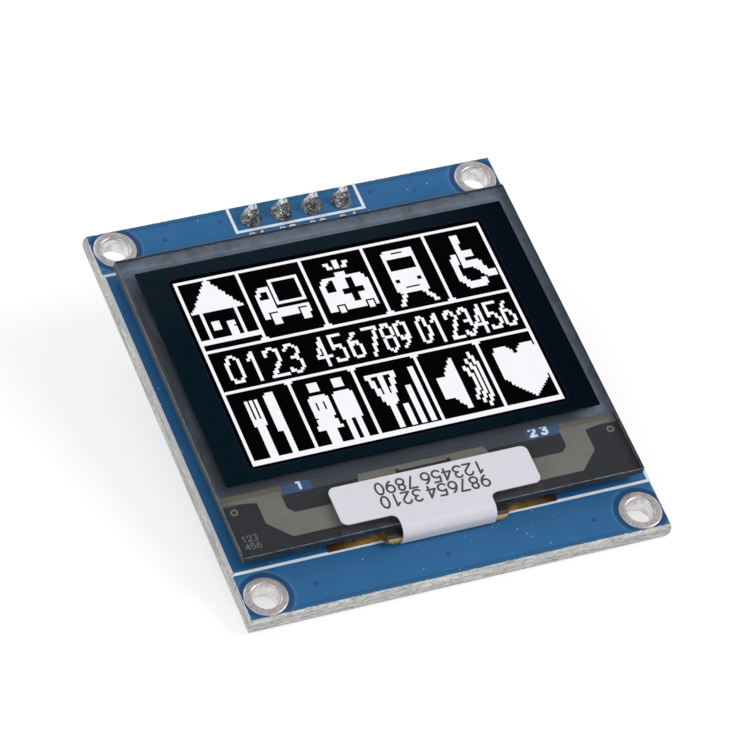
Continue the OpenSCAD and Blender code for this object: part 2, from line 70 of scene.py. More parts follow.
def tone(code: str) -> tuple[float, ...]:
    """Turns a written colour into the linear values that shaders use.

    Args:
        code: the colour as six hexadecimal digits.

    Returns:
        Red, green, blue and an alpha of one.
    """
    written = np.array([int(code[i:i + 2], 16) for i in (0, 2, 4)]) / 255
    linear = np.where(written <= 0.04045, written / 12.92, ((written + 0.055) / 1.055) ** 2.4)
    return (*linear.tolist(), 1.0)


# ---- Forms ----


@dataclass
class Form:
    """Points in millimetres with the faces that join them; each block of faces has its own finish number."""

    points: Array
    faces: list[Array]
    marks: list[int] = field(default_factory=list)

    def __post_init__(self) -> None:
        """Gives every block of faces the first finish where none is named."""
        self.marks = self.marks or [0] * len(self.faces)

    def __add__(self, other: Form) -> Form:
        """Puts two forms side by side in one."""
        shifted = [block + len(self.points) for block in other.faces]
        return Form(np.vstack([self.points, other.points]), self.faces + shifted, self.marks + other.marks)

    def marked(self, mark: int) -> Form:
        """The same form with one finish number on all its faces."""
        return Form(self.points, self.faces, [mark] * len(self.faces))

    def banded(self, count: int, mark: int) -> Form:
        """The same form with a finish number on the first few faces of its first block, such as its sides."""
        first, *others = self.faces
        return Form(self.points, [first[:count], first[count:], *others], [mark] + [0] * len(self.faces))

    def piece(self, name: str, finishes: Sequence[Finish], slot: str, replaces: Sequence[str] = (),
              bevel: float = 0.0, rim: int = -1, sharp: float = 40.0) -> None:
        """Makes the form an object of the module, which rides on its one body.

        Args:
            name: the object's name.
            finishes: its finishes, by number.
            slot: the record's material slot; not used.
            replaces: CAD nodes that the piece stands for.
            bevel: width of its rounded edges, none where zero.
            rim: finish number of the rounded edges, or -1 for that of the faces beside them.
            sharp: angle in degrees above which an edge stays sharp.
        """
        mesh = bpy.data.meshes.new(name)
        faces = [row for block in self.faces for row in block.tolist()]
        mesh.from_pydata((self.points * MM).tolist(), [], faces)
        counts = [len(block) for block in self.faces]
        mesh.polygons.foreach_set("material_index", np.repeat(self.marks, counts).astype(np.int32))
        cleaned = bmesh.new()
        cleaned.from_mesh(mesh)
        bmesh.ops.recalc_face_normals(cleaned, faces=cleaned.faces)
        cleaned.to_mesh(mesh)
        cleaned.free()
        for finish in finishes:
            mesh.materials.append(finish.material())
        mesh.polygons.foreach_set("use_smooth", np.ones(len(faces), bool))
        mesh.set_sharp_from_angle(angle=math.radians(sharp))
        thing = bpy.data.objects.new(name, mesh)
        bpy.context.scene.collection.objects.link(thing)
        if bevel:
            rounding = thing.modifiers.new("rounded_edges", "BEVEL")
            rounding.width = bevel * MM
            rounding.segments = 3
            rounding.limit_method = "ANGLE"
            rounding.material = rim
            rounding.harden_normals = True
        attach(thing, "root")
        if replaces:
            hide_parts(*replaces)
        log.info("%s: %d faces", name, len(faces))


def joined(forms: Sequence[Form]) -> Form:
    """All the forms in one."""
    return sum(forms[1:], forms[0])


def grid_faces(rows: int, columns: int, closed: bool = False) -> Array:
    """Four-sided faces of a grid of points stored row by row.

    Args:
        rows: number of rows of points.
        columns: number of points in a row.
        closed: whether each row joins up with its own start.

    Returns:
        One row of four point numbers for each face.
    """
    number = np.arange(rows * columns).reshape(rows, columns)
    ahead = np.roll(number, -1, axis=1)
    block = np.stack([number[:-1], ahead[:-1], ahead[1:], number[1:]], axis=-1)
    return block.reshape(-1, 4) if closed else block[:, :-1].reshape(-1, 4)


def loft(rings: Array) -> Form:
    """Closed skin over a stack of rings: each is joined to the next, and the first and last are capped.

    Args:
        rings: points by ring, place in the ring and axis.

    Returns:
        The closed form.
    """
    rows, columns, _ = rings.shape
    last = (rows - 1) * columns + np.arange(columns)
    return Form(rings.reshape(-1, 3), [grid_faces(rows, columns, True), np.arange(columns)[None], last[None]])


def hoop(rings: Array) -> Form:
    """Closed skin like a tube bent round: each ring is joined to the next, and the last to the first."""
    rows, columns, _ = rings.shape
    return Form(rings.reshape(-1, 3), [grid_faces(rows + 1, columns, True) % (rows * columns)])


def level(outline: Array, z: float) -> Array:
    """A flat outline with the same last coordinate at every point."""
    return np.column_stack([outline, np.full(len(outline), z)])


def prism(outline: Array, low: float, high: float) -> Form:
    """Straight-sided block over a flat outline, between two heights."""
    return loft(np.stack([level(outline, low), level(outline, high)]))


def rectangle(low: Sequence[float], high: Sequence[float], z: float) -> Array:
    """Ring of the four corners of a level rectangle."""
    return level(np.array([[low[0], low[1]], [high[0], low[1]], [high[0], high[1]], [low[0], high[1]]]), z)


def box_form(low: Sequence[float], high: Sequence[float]) -> Form:
    """Block between two opposite corners."""
    return loft(np.stack([rectangle(low, high, z) for z in (low[2], high[2])]))


def block_field(x0: Array, x1: Array, y0: Array, y1: Array, low: float, high: float) -> Form:
    """Many upright blocks at once, each with eight corners taken from its own ends in x and y.

    Args:
        x0: left end of each block.
        x1: right end of each.
        y0: front end of each.
        y1: back end of each.
        low: height of their undersides.
        high: height of their upper faces.

    Returns:
        The blocks in one form.
    """
    plan = np.stack([np.stack(corner, 1) for corner in ((x0, y0), (x1, y0), (x1, y1), (x0, y1))], 1)
    levels = [np.concatenate([plan, np.full((len(x0), 4, 1), z)], 2) for z in (low, high)]
    pattern = np.array([[0, 3, 2, 1], [4, 5, 6, 7], [0, 1, 5, 4], [1, 2, 6, 5], [2, 3, 7, 6], [3, 0, 4, 7]])
    faces = (np.arange(len(x0))[:, None, None] * 8 + pattern).reshape(-1, 4)
    return Form(np.concatenate(levels, 1).reshape(-1, 3), [faces])


def polar(centre: Sequence[float], radius: Array, angle: Array, height: Array) -> Array:
    """Points (x, y, z) at a radius and an angle from a vertical axis, with one height for each row."""
    return np.stack([centre[0] + radius * np.cos(angle), centre[1] + radius * np.sin(angle),
                     np.broadcast_to(height, radius.shape)], -1)


def turned(profile: Array, centre: Sequence[float], steps: int, sway: Array) -> Form:
    """Ring turned about a vertical axis: each profile point (radius, height) goes once round the centre.

    Args:
        profile: closed loop of radii and heights.
        centre: x and y of the axis.
        steps: points in a full turn.
        sway: factors on the radius, one for each step, for a form that isn't quite round.

    Returns:
        The closed ring.
    """
    angle = np.linspace(0, 2 * math.pi, steps, endpoint=False)
    return hoop(polar(centre, profile[:, :1] * sway, angle, profile[:, 1:]))


def arc(cx: float, cy: float, rx: float, ry: float, start: float, stop: float, steps: int = 14) -> Array:
    """Points on part of an ellipse, at even angles in degrees from start to stop."""
    angle = np.radians(np.linspace(start, stop, steps))
    return np.column_stack([cx + rx * np.cos(angle), cy + ry * np.sin(angle)])


def quarter_rise(distance: Array, radius: float) -> Array:
    """Height of a quarter circle that starts upright, at a distance from its start."""
    left = radius - np.clip(distance, 0, radius)
    return np.sqrt(np.clip(radius ** 2 - left ** 2, 0, None))


def rounded(width: float, depth: float, radius: float, steps: int) -> Array:
    """Outline of a rectangle about the origin with four round corners.

    Args:
        width: its size in x.
        depth: its size in y.
        radius: radius of the corners.
        steps: points in a corner.

    Returns:
        The points of the outline.
    """
    x, y = width / 2 - radius, depth / 2 - radius
    corners = [(x, y, 0), (-x, y, 90), (-x, -y, 180), (x, -y, 270)]
    return np.concatenate([arc(cx, cy, radius, radius, turn, turn + 90, steps) for cx, cy, turn in corners])


def ribbon(line: Array, width: float) -> Array:
    """Outline of a line of even width with round ends.

    Each point moves to both sides along the mean of its two normals, and by more where the line bends, so
    that both sides stay parallel to it. Each end is half a circle about its last point.

    Args:
        line: the points of the line.
        width: the line's width.

    Returns:
        The points of the outline.
    """
    step = np.diff(line, axis=0)
    step = step / np.linalg.norm(step, axis=1, keepdims=True)
    normal = np.stack([-step[:, 1], step[:, 0]], 1)
    before, after = np.vstack([normal[:1], normal]), np.vstack([normal, normal[-1:]])
    mean = before + after
    mean /= np.linalg.norm(mean, axis=1, keepdims=True)
    reach = (width / 2 / np.clip((mean * after).sum(1), 0.5, 1))[:, None] * mean
    turn = np.radians(np.linspace(0, 180, 7)[1:-1])[:, None]
    far, near = (width / 2 * (np.cos(turn) * side * way + np.sin(turn) * side * ahead)
                 for side, way, ahead in ((1, normal[-1], step[-1]), (-1, normal[0], step[0])))
    return np.vstack([line + reach, line[-1] + far, (line - reach)[::-1], line[0] + near])


def lines_form(lines: Sequence[Array], width: float, low: float, high: float) -> Form:
    """Raised ribbons along several lines; neighbours differ a little in height, for where they cross."""
    return joined([prism(ribbon(line, width), low, high + CROSSING_STEP * (i % 4))
                   for i, line in enumerate(lines)])


def swept_sheet(path: Array, half_width: Array, thickness: float, columns: int) -> Form:
    """Sheet that follows a path seen from the side.

    A point of the inner face is (u w, y, z), where (y, z) is on the path, w is the half width there and u
    runs from -1 to 1. The outer face lies one thickness away along the path's normal, and the rim joins both.

    Args:
        path: points (y, z) of the inner face.
        half_width: half the sheet's width at each point.
        thickness: the sheet's thickness; a negative one goes to the other side.
        columns: points across the sheet.

    Returns:
        The closed sheet.
    """
    along = np.gradient(path, axis=0)
    normal = np.stack([along[:, 1], -along[:, 0]], 1) / np.linalg.norm(along, axis=1, keepdims=True)
    across = half_width[:, None] * np.linspace(-1, 1, columns)
    rows = len(path)
    faces = [np.concatenate([across[..., None], np.broadcast_to(side[:, None], (rows, columns, 2))], 2)
             for side in (path, path + thickness * normal)]
    number = np.arange(rows * columns).reshape(rows, columns)
    rim = np.concatenate([number[0], number[1:, -1], number[-1, -2::-1], number[-2:0:-1, 0]])
    beyond, under = np.roll(rim, -1), rows * columns
    edge = np.stack([rim, beyond, beyond + under, rim + under], 1)
    quads = grid_faces(rows, columns)
    return Form(np.concatenate(faces).reshape(-1, 3), [quads, quads[:, ::-1] + under, edge])


def straight(*corners: tuple[float, float]) -> list[Array]:
    """One straight stroke from each corner to the next."""
    return [np.array(pair) for pair in zip(corners[:-1], corners[1:])]


def digit(value: int) -> list[Array]:
    """Strokes of a plain digit, in a box 1 wide and DIGIT_HEIGHT high.

    Args:
        value: the digit.

    Returns:
        The strokes, each a line of points.
    """
    six = [arc(0.5, 0.5, 0.48, 0.5, 90, 450, 20), arc(1.0, 0.5, 0.98, 1.1, 178, 112, 10)]
    hook = np.vstack([arc(0.48, 1.12, 0.46, 0.48, 165, -35), [[0.04, 0.0]]])
    shapes = {
        0: [arc(0.5, 0.8, 0.46, 0.8, 90, 450, 24)],
        1: straight((0.18, 1.25), (0.56, 1.6), (0.56, 0.0)),
        2: [hook] + straight((0.04, 0.0), (1.0, 0.0)),
        3: [arc(0.46, 1.2, 0.42, 0.4, 150, -90), arc(0.46, 0.4, 0.5, 0.42, 90, -150)],
        4: straight((1.0, 0.46), (0.0, 0.46), (0.76, 1.6), (0.76, 0.0)),
        5: straight((0.94, 1.6), (0.16, 1.6), (0.08, 0.86)) + [arc(0.44, 0.5, 0.52, 0.5, 135, -145)],
        6: six,
        7: straight((0.0, 1.6), (1.0, 1.6), (0.36, 0.0)),
        8: [arc(0.5, 1.2, 0.38, 0.4, 90, 450, 18), arc(0.5, 0.4, 0.47, 0.42, 90, 450, 18)],
        9: [np.array([1.0, 1.6]) - stroke for stroke in six],
    }
    return shapes[value]


def digit_row(values: Sequence[int], height: float, pitch: float, centre: Sequence[float],
              turn: float = 0.0) -> list[Array]:
    """Strokes of a row of digits.

    Args:
        values: the digits.
        height: height of a digit.
        pitch: distance from one digit to the next.
        centre: middle of the row.
        turn: angle of the row in degrees.

    Returns:
        The strokes, each a line of points.
    """
    c, s = math.cos(math.radians(turn)), math.sin(math.radians(turn))
    start = -pitch * (len(values) - 1) / 2
    rows = [(stroke - [0.5, DIGIT_HEIGHT / 2]) * (height / DIGIT_HEIGHT) + [start + i * pitch, 0]
            for i, value in enumerate(values) for stroke in digit(value)]
    return [row @ np.array([[c, s], [-s, c]]) + np.asarray(centre) for row in rows]


# ---- Shader nodes ----


class Value:
    """Output of a shader node that takes part in sums like a number."""

    def __init__(self, nodes: Nodes, socket: bpy.types.NodeSocket) -> None:
        """Keeps the socket and the tree that it is in."""
        self.nodes = nodes
        self.socket = socket

    def maths(self, operation: str, other: object = 0.0) -> Value:
        """Result of one Math node."""
        return self.nodes.add("Math", {0: self, 1: other}, operation=operation)

    def __add__(self, other: object) -> Value:
        """Sum."""
        return self.maths("ADD", other)

    def __sub__(self, other: object) -> Value:
        """Difference."""
        return self.maths("SUBTRACT", other)

    def __rsub__(self, other: float) -> Value:
        """Difference of a plain number and this value."""
        return self.nodes.add("Math", {0: other, 1: self}, operation="SUBTRACT")

    def __mul__(self, other: object) -> Value:
        """Product."""
        return self.maths("MULTIPLY", other)

    def __abs__(self) -> Value:
        """Size without its sign."""
        return self.maths("ABSOLUTE")

    def ramp(self, start: float, stop: float, low: float = 0.0, high: float = 1.0,
             kind: str = "LINEAR") -> Value:
        """Goes from the low number to the high one as this value goes from start to stop."""
        limits = {"Value": self, "From Min": start, "From Max": stop, "To Min": low, "To Max": high}
        return self.nodes.add("MapRange", limits, interpolation_type=kind)

    def below(self, limit: float, soft: float) -> Value:
        """Mask that is one where the value lies under the limit, and fades out over a soft width."""
        return self.ramp(limit + soft, limit - soft, kind="SMOOTHSTEP")

    def output(self, name: str) -> Value:
        """Another output of the same node."""
        return Value(self.nodes, self.socket.node.outputs[name])


class Nodes:
    """Short calls that add nodes to one shader tree."""

    def __init__(self, tree: bpy.types.NodeTree) -> None:
        """Keeps the tree that the calls work on."""
        self.tree = tree

    def add(self, kind: str, inputs: dict[str | int, object] | None = None, out: str | int = 0,
            **settings: object) -> Value:
        """Adds a node.

        Args:
            kind: the node's type, without its ShaderNode prefix.
            inputs: a number, a colour or another node's output for each input, by name or number.
            out: which of its outputs is wanted.
            **settings: the node's own settings.

        Returns:
            The wanted output of the new node.
        """
        node = self.tree.nodes.new("ShaderNode" + kind)
        for key, value in settings.items():
            setattr(node, key, value)
        for key, value in (inputs or {}).items():
            if isinstance(value, Value):
                self.tree.links.new(value.socket, node.inputs[key])
            else:
                node.inputs[key].default_value = tone(value) if isinstance(value, str) else value
        return Value(self, node.outputs[out])

    def close(self, kind: str, shader: Value) -> None:
        """Joins a shader to the tree's output node."""
        self.tree.links.new(shader.socket, self.tree.nodes.new("ShaderNode" + kind).inputs["Surface"])

    def group(self, kind: Effect, **inputs: object) -> Value:
        """Places a shared effect with its own inputs, and gives its first output."""
        named = {name.capitalize(): value for name, value in inputs.items()}
        return self.add("Group", named, node_tree=shared_effect(kind))

    def blend(self, mask: object, first: object, second: object) -> Value:
        """Colour that goes from the first to the second as the mask goes from zero to one."""
        return self.add("Mix", {0: mask, 6: first, 7: second}, 2, data_type="RGBA")

    def layers(self, colour: object, *others: tuple[object, object]) -> Value:
        """Lays other colours over a first one, each through its own mask."""
        for mask, over in others:
            colour = self.blend(mask, colour, over)
        return colour

    def noise(self, where: Value, scale: object, detail: float = 3.0, roughness: float = 0.5,
              stretch: tuple[float, float, float] | None = None) -> Value:
        """Grey cloud pattern.

        Args:
            where: point on the piece, in metres.
            scale: waves per metre.
            detail: how many finer layers it has.
            roughness: how strong the finer layers are.
            stretch: factors on the three axes; a small one draws the clouds out along its axis.

        Returns:
            A number about one half.
        """
        if stretch:
            where = self.add("Mapping", {"Vector": where, "Scale": stretch})
        return self.add("TexNoise", {"Vector": where, "Scale": scale, "Detail": detail,
                                     "Roughness": roughness})

    def place(self) -> Value:
        """The point on the piece, in metres."""
        return self.add("TexCoord", out="Object")

    def axes(self, vector: Value, scale: float = 1 / MM) -> list[Value]:
        """The three parts of a vector times a scale, which turns metres into millimetres."""
        first = self.add("SeparateXYZ", {0: vector})
        return [part * scale for part in (first, first.output("Y"), first.output("Z"))]

    def length(self, x: Value, y: Value) -> Value:
        """Length of a flat vector."""
        flat = self.add("CombineXYZ", {0: x, 1: y})
        return self.add("VectorMath", {0: flat}, "Value", operation="LENGTH")

    def ray(self, *kinds: str) -> Value:
        """One where the ray that is followed is of one of these kinds, and otherwise zero."""
        first, *others = (self.add("LightPath", out=f"Is {kind} Ray") for kind in kinds)
        for other in others:
            first = first.maths("MAXIMUM", other)
        return first

    def principled(self, colour: object, grain: Value, more: dict[str, object] | None = None) -> Value:
        """Principled shader that takes its roughness and its normal from a grain effect."""
        inputs = {"Base Color": colour, "Roughness": grain, "Normal": grain.output("Normal")}
        return self.add("BsdfPrincipled", inputs | (more or {}))


class Effect(Enum):
    """Effects that more than one finish uses."""

    GRAIN = "grain"
    SPECKS = "specks"
    LINES = "lines"
    STAIN = "stain"


EFFECT_INPUTS = {
    Effect.GRAIN: {"Scale": 2000.0, "Depth": 0.1, "Roughness": 0.5, "Spread": 0.1, "Relief": 0.02},
    Effect.SPECKS: {"Scale": 900.0, "Amount": 0.1},
    Effect.LINES: {"Place": 0.0, "Pitch": 0.2, "Share": 0.5},
    Effect.STAIN: {"Colour": tone("bcbcbc"), "Stain": tone("959595"), "Scale": 500.0, "Amount": 0.5},
}
EFFECT_OUTPUTS = {
    Effect.GRAIN: {"Roughness": "Float", "Normal": "Vector"},
    Effect.SPECKS: {"Mask": "Float"},
    Effect.LINES: {"Mask": "Float"},
    Effect.STAIN: {"Colour": "Color"},
}
SPECK_RADIUS = 0.22
STAIN_LEVEL, STAIN_SOFTNESS = 0.47, 0.13


def shared_effect(kind: Effect) -> bpy.types.NodeTree:
    """Node group of an effect, built once.

    Grain gives a roughness that wavers about a middle value and a bumped normal. Specks gives scattered dots.
    Lines gives even stripes across a coordinate. Stain gives a colour with cloudy patches of a second one.

    Args:
        kind: which effect.

    Returns:
        The group's tree.
    """
    if kind.value in bpy.data.node_groups:
        return bpy.data.node_groups[kind.value]
    tree = bpy.data.node_groups.new(kind.value, "ShaderNodeTree")
    for name, value in EFFECT_INPUTS[kind].items():
        socket_type = "NodeSocketColor" if isinstance(value, tuple) else "NodeSocketFloat"
        tree.interface.new_socket(name, in_out="INPUT", socket_type=socket_type).default_value = value
    for name, value in EFFECT_OUTPUTS[kind].items():
        tree.interface.new_socket(name, in_out="OUTPUT", socket_type="NodeSocket" + value)
    nodes = Nodes(tree)
    given = {socket.name: Value(nodes, socket) for socket in tree.nodes.new("NodeGroupInput").outputs}
    where = nodes.place()
    if kind is Effect.GRAIN:
        cloud = nodes.noise(where, given["Scale"], 4.0, 0.6)
        relief = given["Relief"] * MM
        bump = nodes.add("Bump", {"Height": cloud, "Strength": given["Depth"], "Distance": relief})
        outputs = [given["Roughness"] + (cloud - 0.5) * given["Spread"], bump]
    elif kind is Effect.SPECKS:
        cells = nodes.add("TexVoronoi", {"Vector": where, "Scale": given["Scale"]}, "Distance")
        chosen = nodes.add("SeparateColor", {0: cells.output("Color")})
        outputs = [cells.maths("LESS_THAN", chosen.maths("LESS_THAN", given["Amount"]) * SPECK_RADIUS)]
    elif kind is Effect.LINES:
        turn = given["Place"].maths("DIVIDE", given["Pitch"]).maths("FRACT")
        outputs = [turn.maths("LESS_THAN", given["Share"])]
    else:
        cloud = nodes.noise(where, given["Scale"], 5.0, 0.62)
        mask = cloud.below(STAIN_LEVEL, STAIN_SOFTNESS) * given["Amount"]
        outputs = [nodes.blend(mask, given["Colour"], given["Stain"])]
    result = tree.nodes.new("NodeGroupOutput").inputs
    for i, value in enumerate(outputs):
        tree.links.new(value.socket, result[i])
    return tree


# ---- Finishes ----


@dataclass(frozen=True)
class Finish:
    """A material that is built the first time it is asked for."""

    name: str

    def material(self) -> bpy.types.Material:
        """The finish's material."""
        if self.name not in bpy.data.materials:
            made = bpy.data.materials.new(self.name)
            made.use_nodes = True
            made.node_tree.nodes.clear()
            nodes = Nodes(made.node_tree)
            nodes.close("OutputMaterial", self.surface(nodes))
        return bpy.data.materials[self.name]

    def surface(self, nodes: Nodes) -> Value:
        """Shader of the finish."""
        raise NotImplementedError


@dataclass(frozen=True)
class Metal(Finish):
    """Solder, tin or plated metal with cloudy tarnish."""

    colour: str
    tarnish: str
    roughness: float
    grain: float
    depth: float
    amount: float
    metallic: float = 1.0
    relief: float = 0.02

    def surface(self, nodes: Nodes) -> Value:
        """Metal whose colour, gloss and surface waver together."""
        stain = nodes.group(Effect.STAIN, colour=self.colour, stain=self.tarnish, scale=self.grain * 0.6,
                            amount=self.amount)
        grain = nodes.group(Effect.GRAIN, scale=self.grain, depth=self.depth, relief=self.relief,
                            roughness=self.roughness, spread=0.5 * self.roughness)
        return nodes.principled(stain, grain, {"Metallic": self.metallic})


@dataclass(frozen=True)
class Solid(Finish):
    """Plastic, ceramic, paper, foam or ink, with grain and faint specks."""

    colour: str
    patch: str
    roughness: float
    grain: float
    depth: float
    amount: float = 0.4
    specular: float = 0.5
    specks: float = 0.0
    speck_colour: str = "ffffff"
    speck_scale: float = 2200.0

    def surface(self, nodes: Nodes) -> Value:
        """Dull or glossy body colour with patches of a second one."""
        colour = nodes.group(Effect.STAIN, colour=self.colour, stain=self.patch, scale=self.grain * 0.4,
                             amount=self.amount)
        if self.specks:
            specks = nodes.group(Effect.SPECKS, scale=self.speck_scale, amount=self.specks)
            colour = nodes.blend(specks, colour, self.speck_colour)
        grain = nodes.group(Effect.GRAIN, scale=self.grain, depth=self.depth, roughness=self.roughness,
                            spread=0.3 * self.roughness)
        return nodes.principled(colour, grain, {"Specular IOR Level": self.specular})


@dataclass(frozen=True)
class ClearGlass(Finish):
    """Clear glass that lets light through to what lies under it."""

    colour: str

    def surface(self, nodes: Nodes) -> Value:
        """Refracting glass, and for shadows a plain clear surface."""
        grain = nodes.group(Effect.GRAIN, scale=700.0, depth=0.015, roughness=0.02, spread=0.02)
        glass = nodes.principled(self.colour, grain, {"Transmission Weight": 1.0, "IOR": 1.5})
        clear = nodes.add("BsdfTransparent", {"Color": self.colour})
        return nodes.add("MixShader", {0: nodes.ray("Shadow"), 1: glass, 2: clear})


@dataclass(frozen=True)
class SolderMask(Finish):
    """Circuit board: blue mask on both faces, raw glass-fibre laminate round its edges."""

    hole: tuple[float, float]
    ring_radius: float
    half_size: tuple[float, float]
    pin_y: float
    pin_pitch: float
    pour_inset: float = 0.45
    pour_end: float = 13.3
    moat: float = 0.42
    moat_rim: float = 0.16
    flux_reach: float = 1.35
    dust: tuple[float, float] = (5.0, -16.7)
    worn_highlight_width: float = 0.29

    def surface(self, nodes: Nodes) -> Value:
        """Blue mask over copper, darker where the copper stops, with flux by the pins and pale edges, partly
        wear and partly painted highlight.
        """
        where = nodes.place()
        cloud = nodes.noise(where, 260.0, 4.0)
        blue = nodes.blend(cloud.below(0.5, 0.25), "2e6899", "296293")
        mask = nodes.layers(blue, *self.marks(nodes, where))
        streaks = nodes.noise(where, 1500.0, 5.0, 0.65, stretch=(0.22, 0.22, 2.2))
        fibres = nodes.noise(where, 4200.0, 4.0, 0.65, stretch=(0.6, 0.6, 1.6))
        raw = nodes.blend(streaks.below(0.5, 0.14), "eeece8", "bdbdbc")
        raw = nodes.blend(fibres.below(0.44, 0.08) * 0.6, raw, "808183")
        upright = nodes.axes(nodes.add("NewGeometry", out="True Normal"), 1.0)[2]
        side = abs(upright).below(0.6, 0.05)
        weave = nodes.add("Bump", {"Height": (streaks + fibres) * side, "Strength": 0.9,
                                   "Distance": 0.12 * MM})
        peel = nodes.add("Bump", {"Height": cloud, "Strength": 0.15, "Distance": 0.02 * MM, "Normal": weave})
        return nodes.add("BsdfPrincipled", {"Base Color": nodes.blend(side, mask, raw), "Normal": peel,
                                            "Roughness": side * 0.5 + 0.27 + cloud * 0.1,
                                            "Specular IOR Level": 0.35})

    def marks(self, nodes: Nodes, where: Value) -> list[tuple[Value, str]]:
        """What lies over the plain blue.

        Round each hole a pale line and a dark moat; outside the copper a darker rim with a line; flux round
        the pins; dust, thickest about one place; and the rim of the board pale, partly wear and partly a
        painted highlight along the edge.

        Args:
            nodes: the material's nodes.
            where: point on the board.

        Returns:
            A mask and a colour for each.
        """
        x, y, _ = nodes.axes(where)
        far_x, far_y = abs(x), abs(y)
        away = nodes.length(far_x - self.hole[0], far_y - self.hole[1])
        moat = self.ring_radius + self.moat
        pour = self.half_size[1] - self.pour_inset
        line = abs(far_y - pour).below(0.05, 0.04) * far_x.below(self.pour_end, 0.3)
        by_pin = nodes.length(far_x.maths("MODULO", self.pin_pitch) - self.pin_pitch / 2, y - self.pin_y)
        ragged = by_pin + nodes.noise(where, 1500.0) * 0.9
        flux = ragged.below(self.flux_reach, 0.2) * far_x.maths("LESS_THAN", 2 * self.pin_pitch)
        dusty = nodes.length(x - self.dust[0], y - self.dust[1]).below(2.0, 1.6)
        specks = nodes.group(Effect.SPECKS, scale=3400.0, amount=dusty * 0.3 + 0.014)
        rim = (self.half_size[0] - far_x).maths("MINIMUM", self.half_size[1] - far_y)
        rim = rim + nodes.noise(where, 2600.0, 4.0, 0.7) * 0.34
        return [(away.below(moat + self.moat_rim, 0.05) * 0.3, "5d8fb4"),
                (away.below(moat, 0.12) * 0.85, "173a68"),
                ((far_y * -1.0).below(-pour, 0.03) * 0.45, "24587a"),
                (line * 0.6, "1d4a66"),
                (flux * 0.4, "6b5a45"),
                (specks * 0.6, "a9c6da"),
                # Pale rim of the board: partly wear, partly a painted highlight along its edge.
                (rim.below(self.worn_highlight_width, 0.03), "c4d3de")]


@dataclass(frozen=True)
class DarkFilm(Finish):
    """Glossy polariser film with the black pixel window showing through it."""

    centre: tuple[float, float]
    half_size: tuple[float, float]
    corner: float = 0.55
    rim: float = 0.1
    soft: float = 0.05

    def surface(self, nodes: Nodes) -> Value:
        """Dark teal film with a painted reflection, lighter towards the back and darker towards the right;
        the window is black inside a round-cornered rectangle with a faint line round it.

        The distance to the window's edge is the length of the part of |p - centre| - half_size + corner that
        lies above zero, less the corner radius.

        Args:
            nodes: the material's nodes.

        Returns:
            The film's shader.
        """
        where = nodes.place()
        x, y, _ = nodes.axes(where)
        reach = [(abs(axis - middle) - (half - self.corner)).maths("MAXIMUM")
                 for axis, middle, half in zip((x, y), self.centre, self.half_size)]
        away = nodes.length(*reach)
        colour = nodes.layers("04141d",
                              (nodes.noise(where, 1600.0, 5.0, 0.7).below(0.5, 0.2), "061923"),
                              # Painted reflection: lighter towards the back, darker towards the right.
                              (y.ramp(6, 13), "121f27"),
                              (x.ramp(4, 15), "030b17"),
                              (away.below(self.corner + self.rim, self.soft) * 0.5, "152230"),
                              (away.below(self.corner, self.soft), "010102"))
        grain = nodes.group(Effect.GRAIN, scale=3000.0, depth=0.03, roughness=0.12, spread=0.08)
        return nodes.principled(colour, grain, {"Specular IOR Level": 0.05})


@dataclass(frozen=True)
class Frit(Finish):
    """Slate seal between the two glasses, paler at the back and on the right."""

    colour: str
    pale: str
    streak: str
    highlight_y: float = 13.6
    # blue: colour of the painted bluish highlights along the sides.
    blue: str = "566985"
    shade: str = "262b36"

    def surface(self, nodes: Nodes) -> Value:
        """Slate with a painted highlight streak along the back and painted bluish highlights along both
        sides.
        """
        where = nodes.place()
        x, y, _ = nodes.axes(where)
        edges = y.ramp(11, 13.6).maths("MAXIMUM", x.ramp(13, 14.5))
        # Painted highlights: a light streak along the back and bluish streaks along both sides.
        back_highlight = abs(y - self.highlight_y).below(0.08, 0.14) * 0.3
        long = nodes.noise(where, 2600.0, stretch=(1.0, 0.09, 1.0)).below(0.48, 0.1)
        side_highlights = long * abs(x).ramp(15, 15.3) * 0.45
        slate = nodes.layers(self.colour, (edges, self.pale), (back_highlight, self.streak),
                             (side_highlights, self.blue))
        stain = nodes.group(Effect.STAIN, colour=slate, stain=self.shade, scale=900.0, amount=0.4)
        grain = nodes.group(Effect.GRAIN, scale=1800.0, depth=0.2, roughness=0.5, spread=0.1)
        return nodes.principled(stain, grain)


@dataclass(frozen=True)
class FlexFilm(Finish):
    """Polyimide film, amber over copper at board level; painted shade makes it dark over the ledge and round
    the fold, and darker towards both sides.
    """

    upper_shade: str
    amber: str
    copper: str
    shade: str = "2b2012"
    tarnish: str = "33241a"
    level: float = 2.43
    pitch: float = 0.16

    def surface(self, nodes: Nodes) -> Value:
        """Clear-coated film over fine conductors; painted shade turns its colour from amber to dark above a
        height, and darker towards both sides.
        """
        x, _, z = nodes.axes(nodes.place())
        lines = nodes.group(Effect.LINES, place=x, pitch=self.pitch, share=0.5)
        # Painted shade: darker towards both sides in x.
        ends = abs(x).ramp(5.8, 8.8, high=0.9)
        amber = nodes.layers(self.amber, (lines * 0.6, self.copper), (ends, self.shade))
        # Above the height the film takes the dark colour: painted shade under the glass and round the upper
        # fold.
        low = z.below(self.level, 0.05)
        stain = nodes.group(Effect.STAIN, colour=nodes.blend(low, self.upper_shade, amber), stain=self.tarnish,
                            scale=1300.0, amount=0.5)
        grain = nodes.group(Effect.GRAIN, scale=900.0, depth=0.1, roughness=0.3, spread=0.1)
        coat = {"Metallic": low * 0.3, "Coat Weight": 0.8, "Coat Roughness": 0.05}
        return nodes.principled(stain, grain, coat)


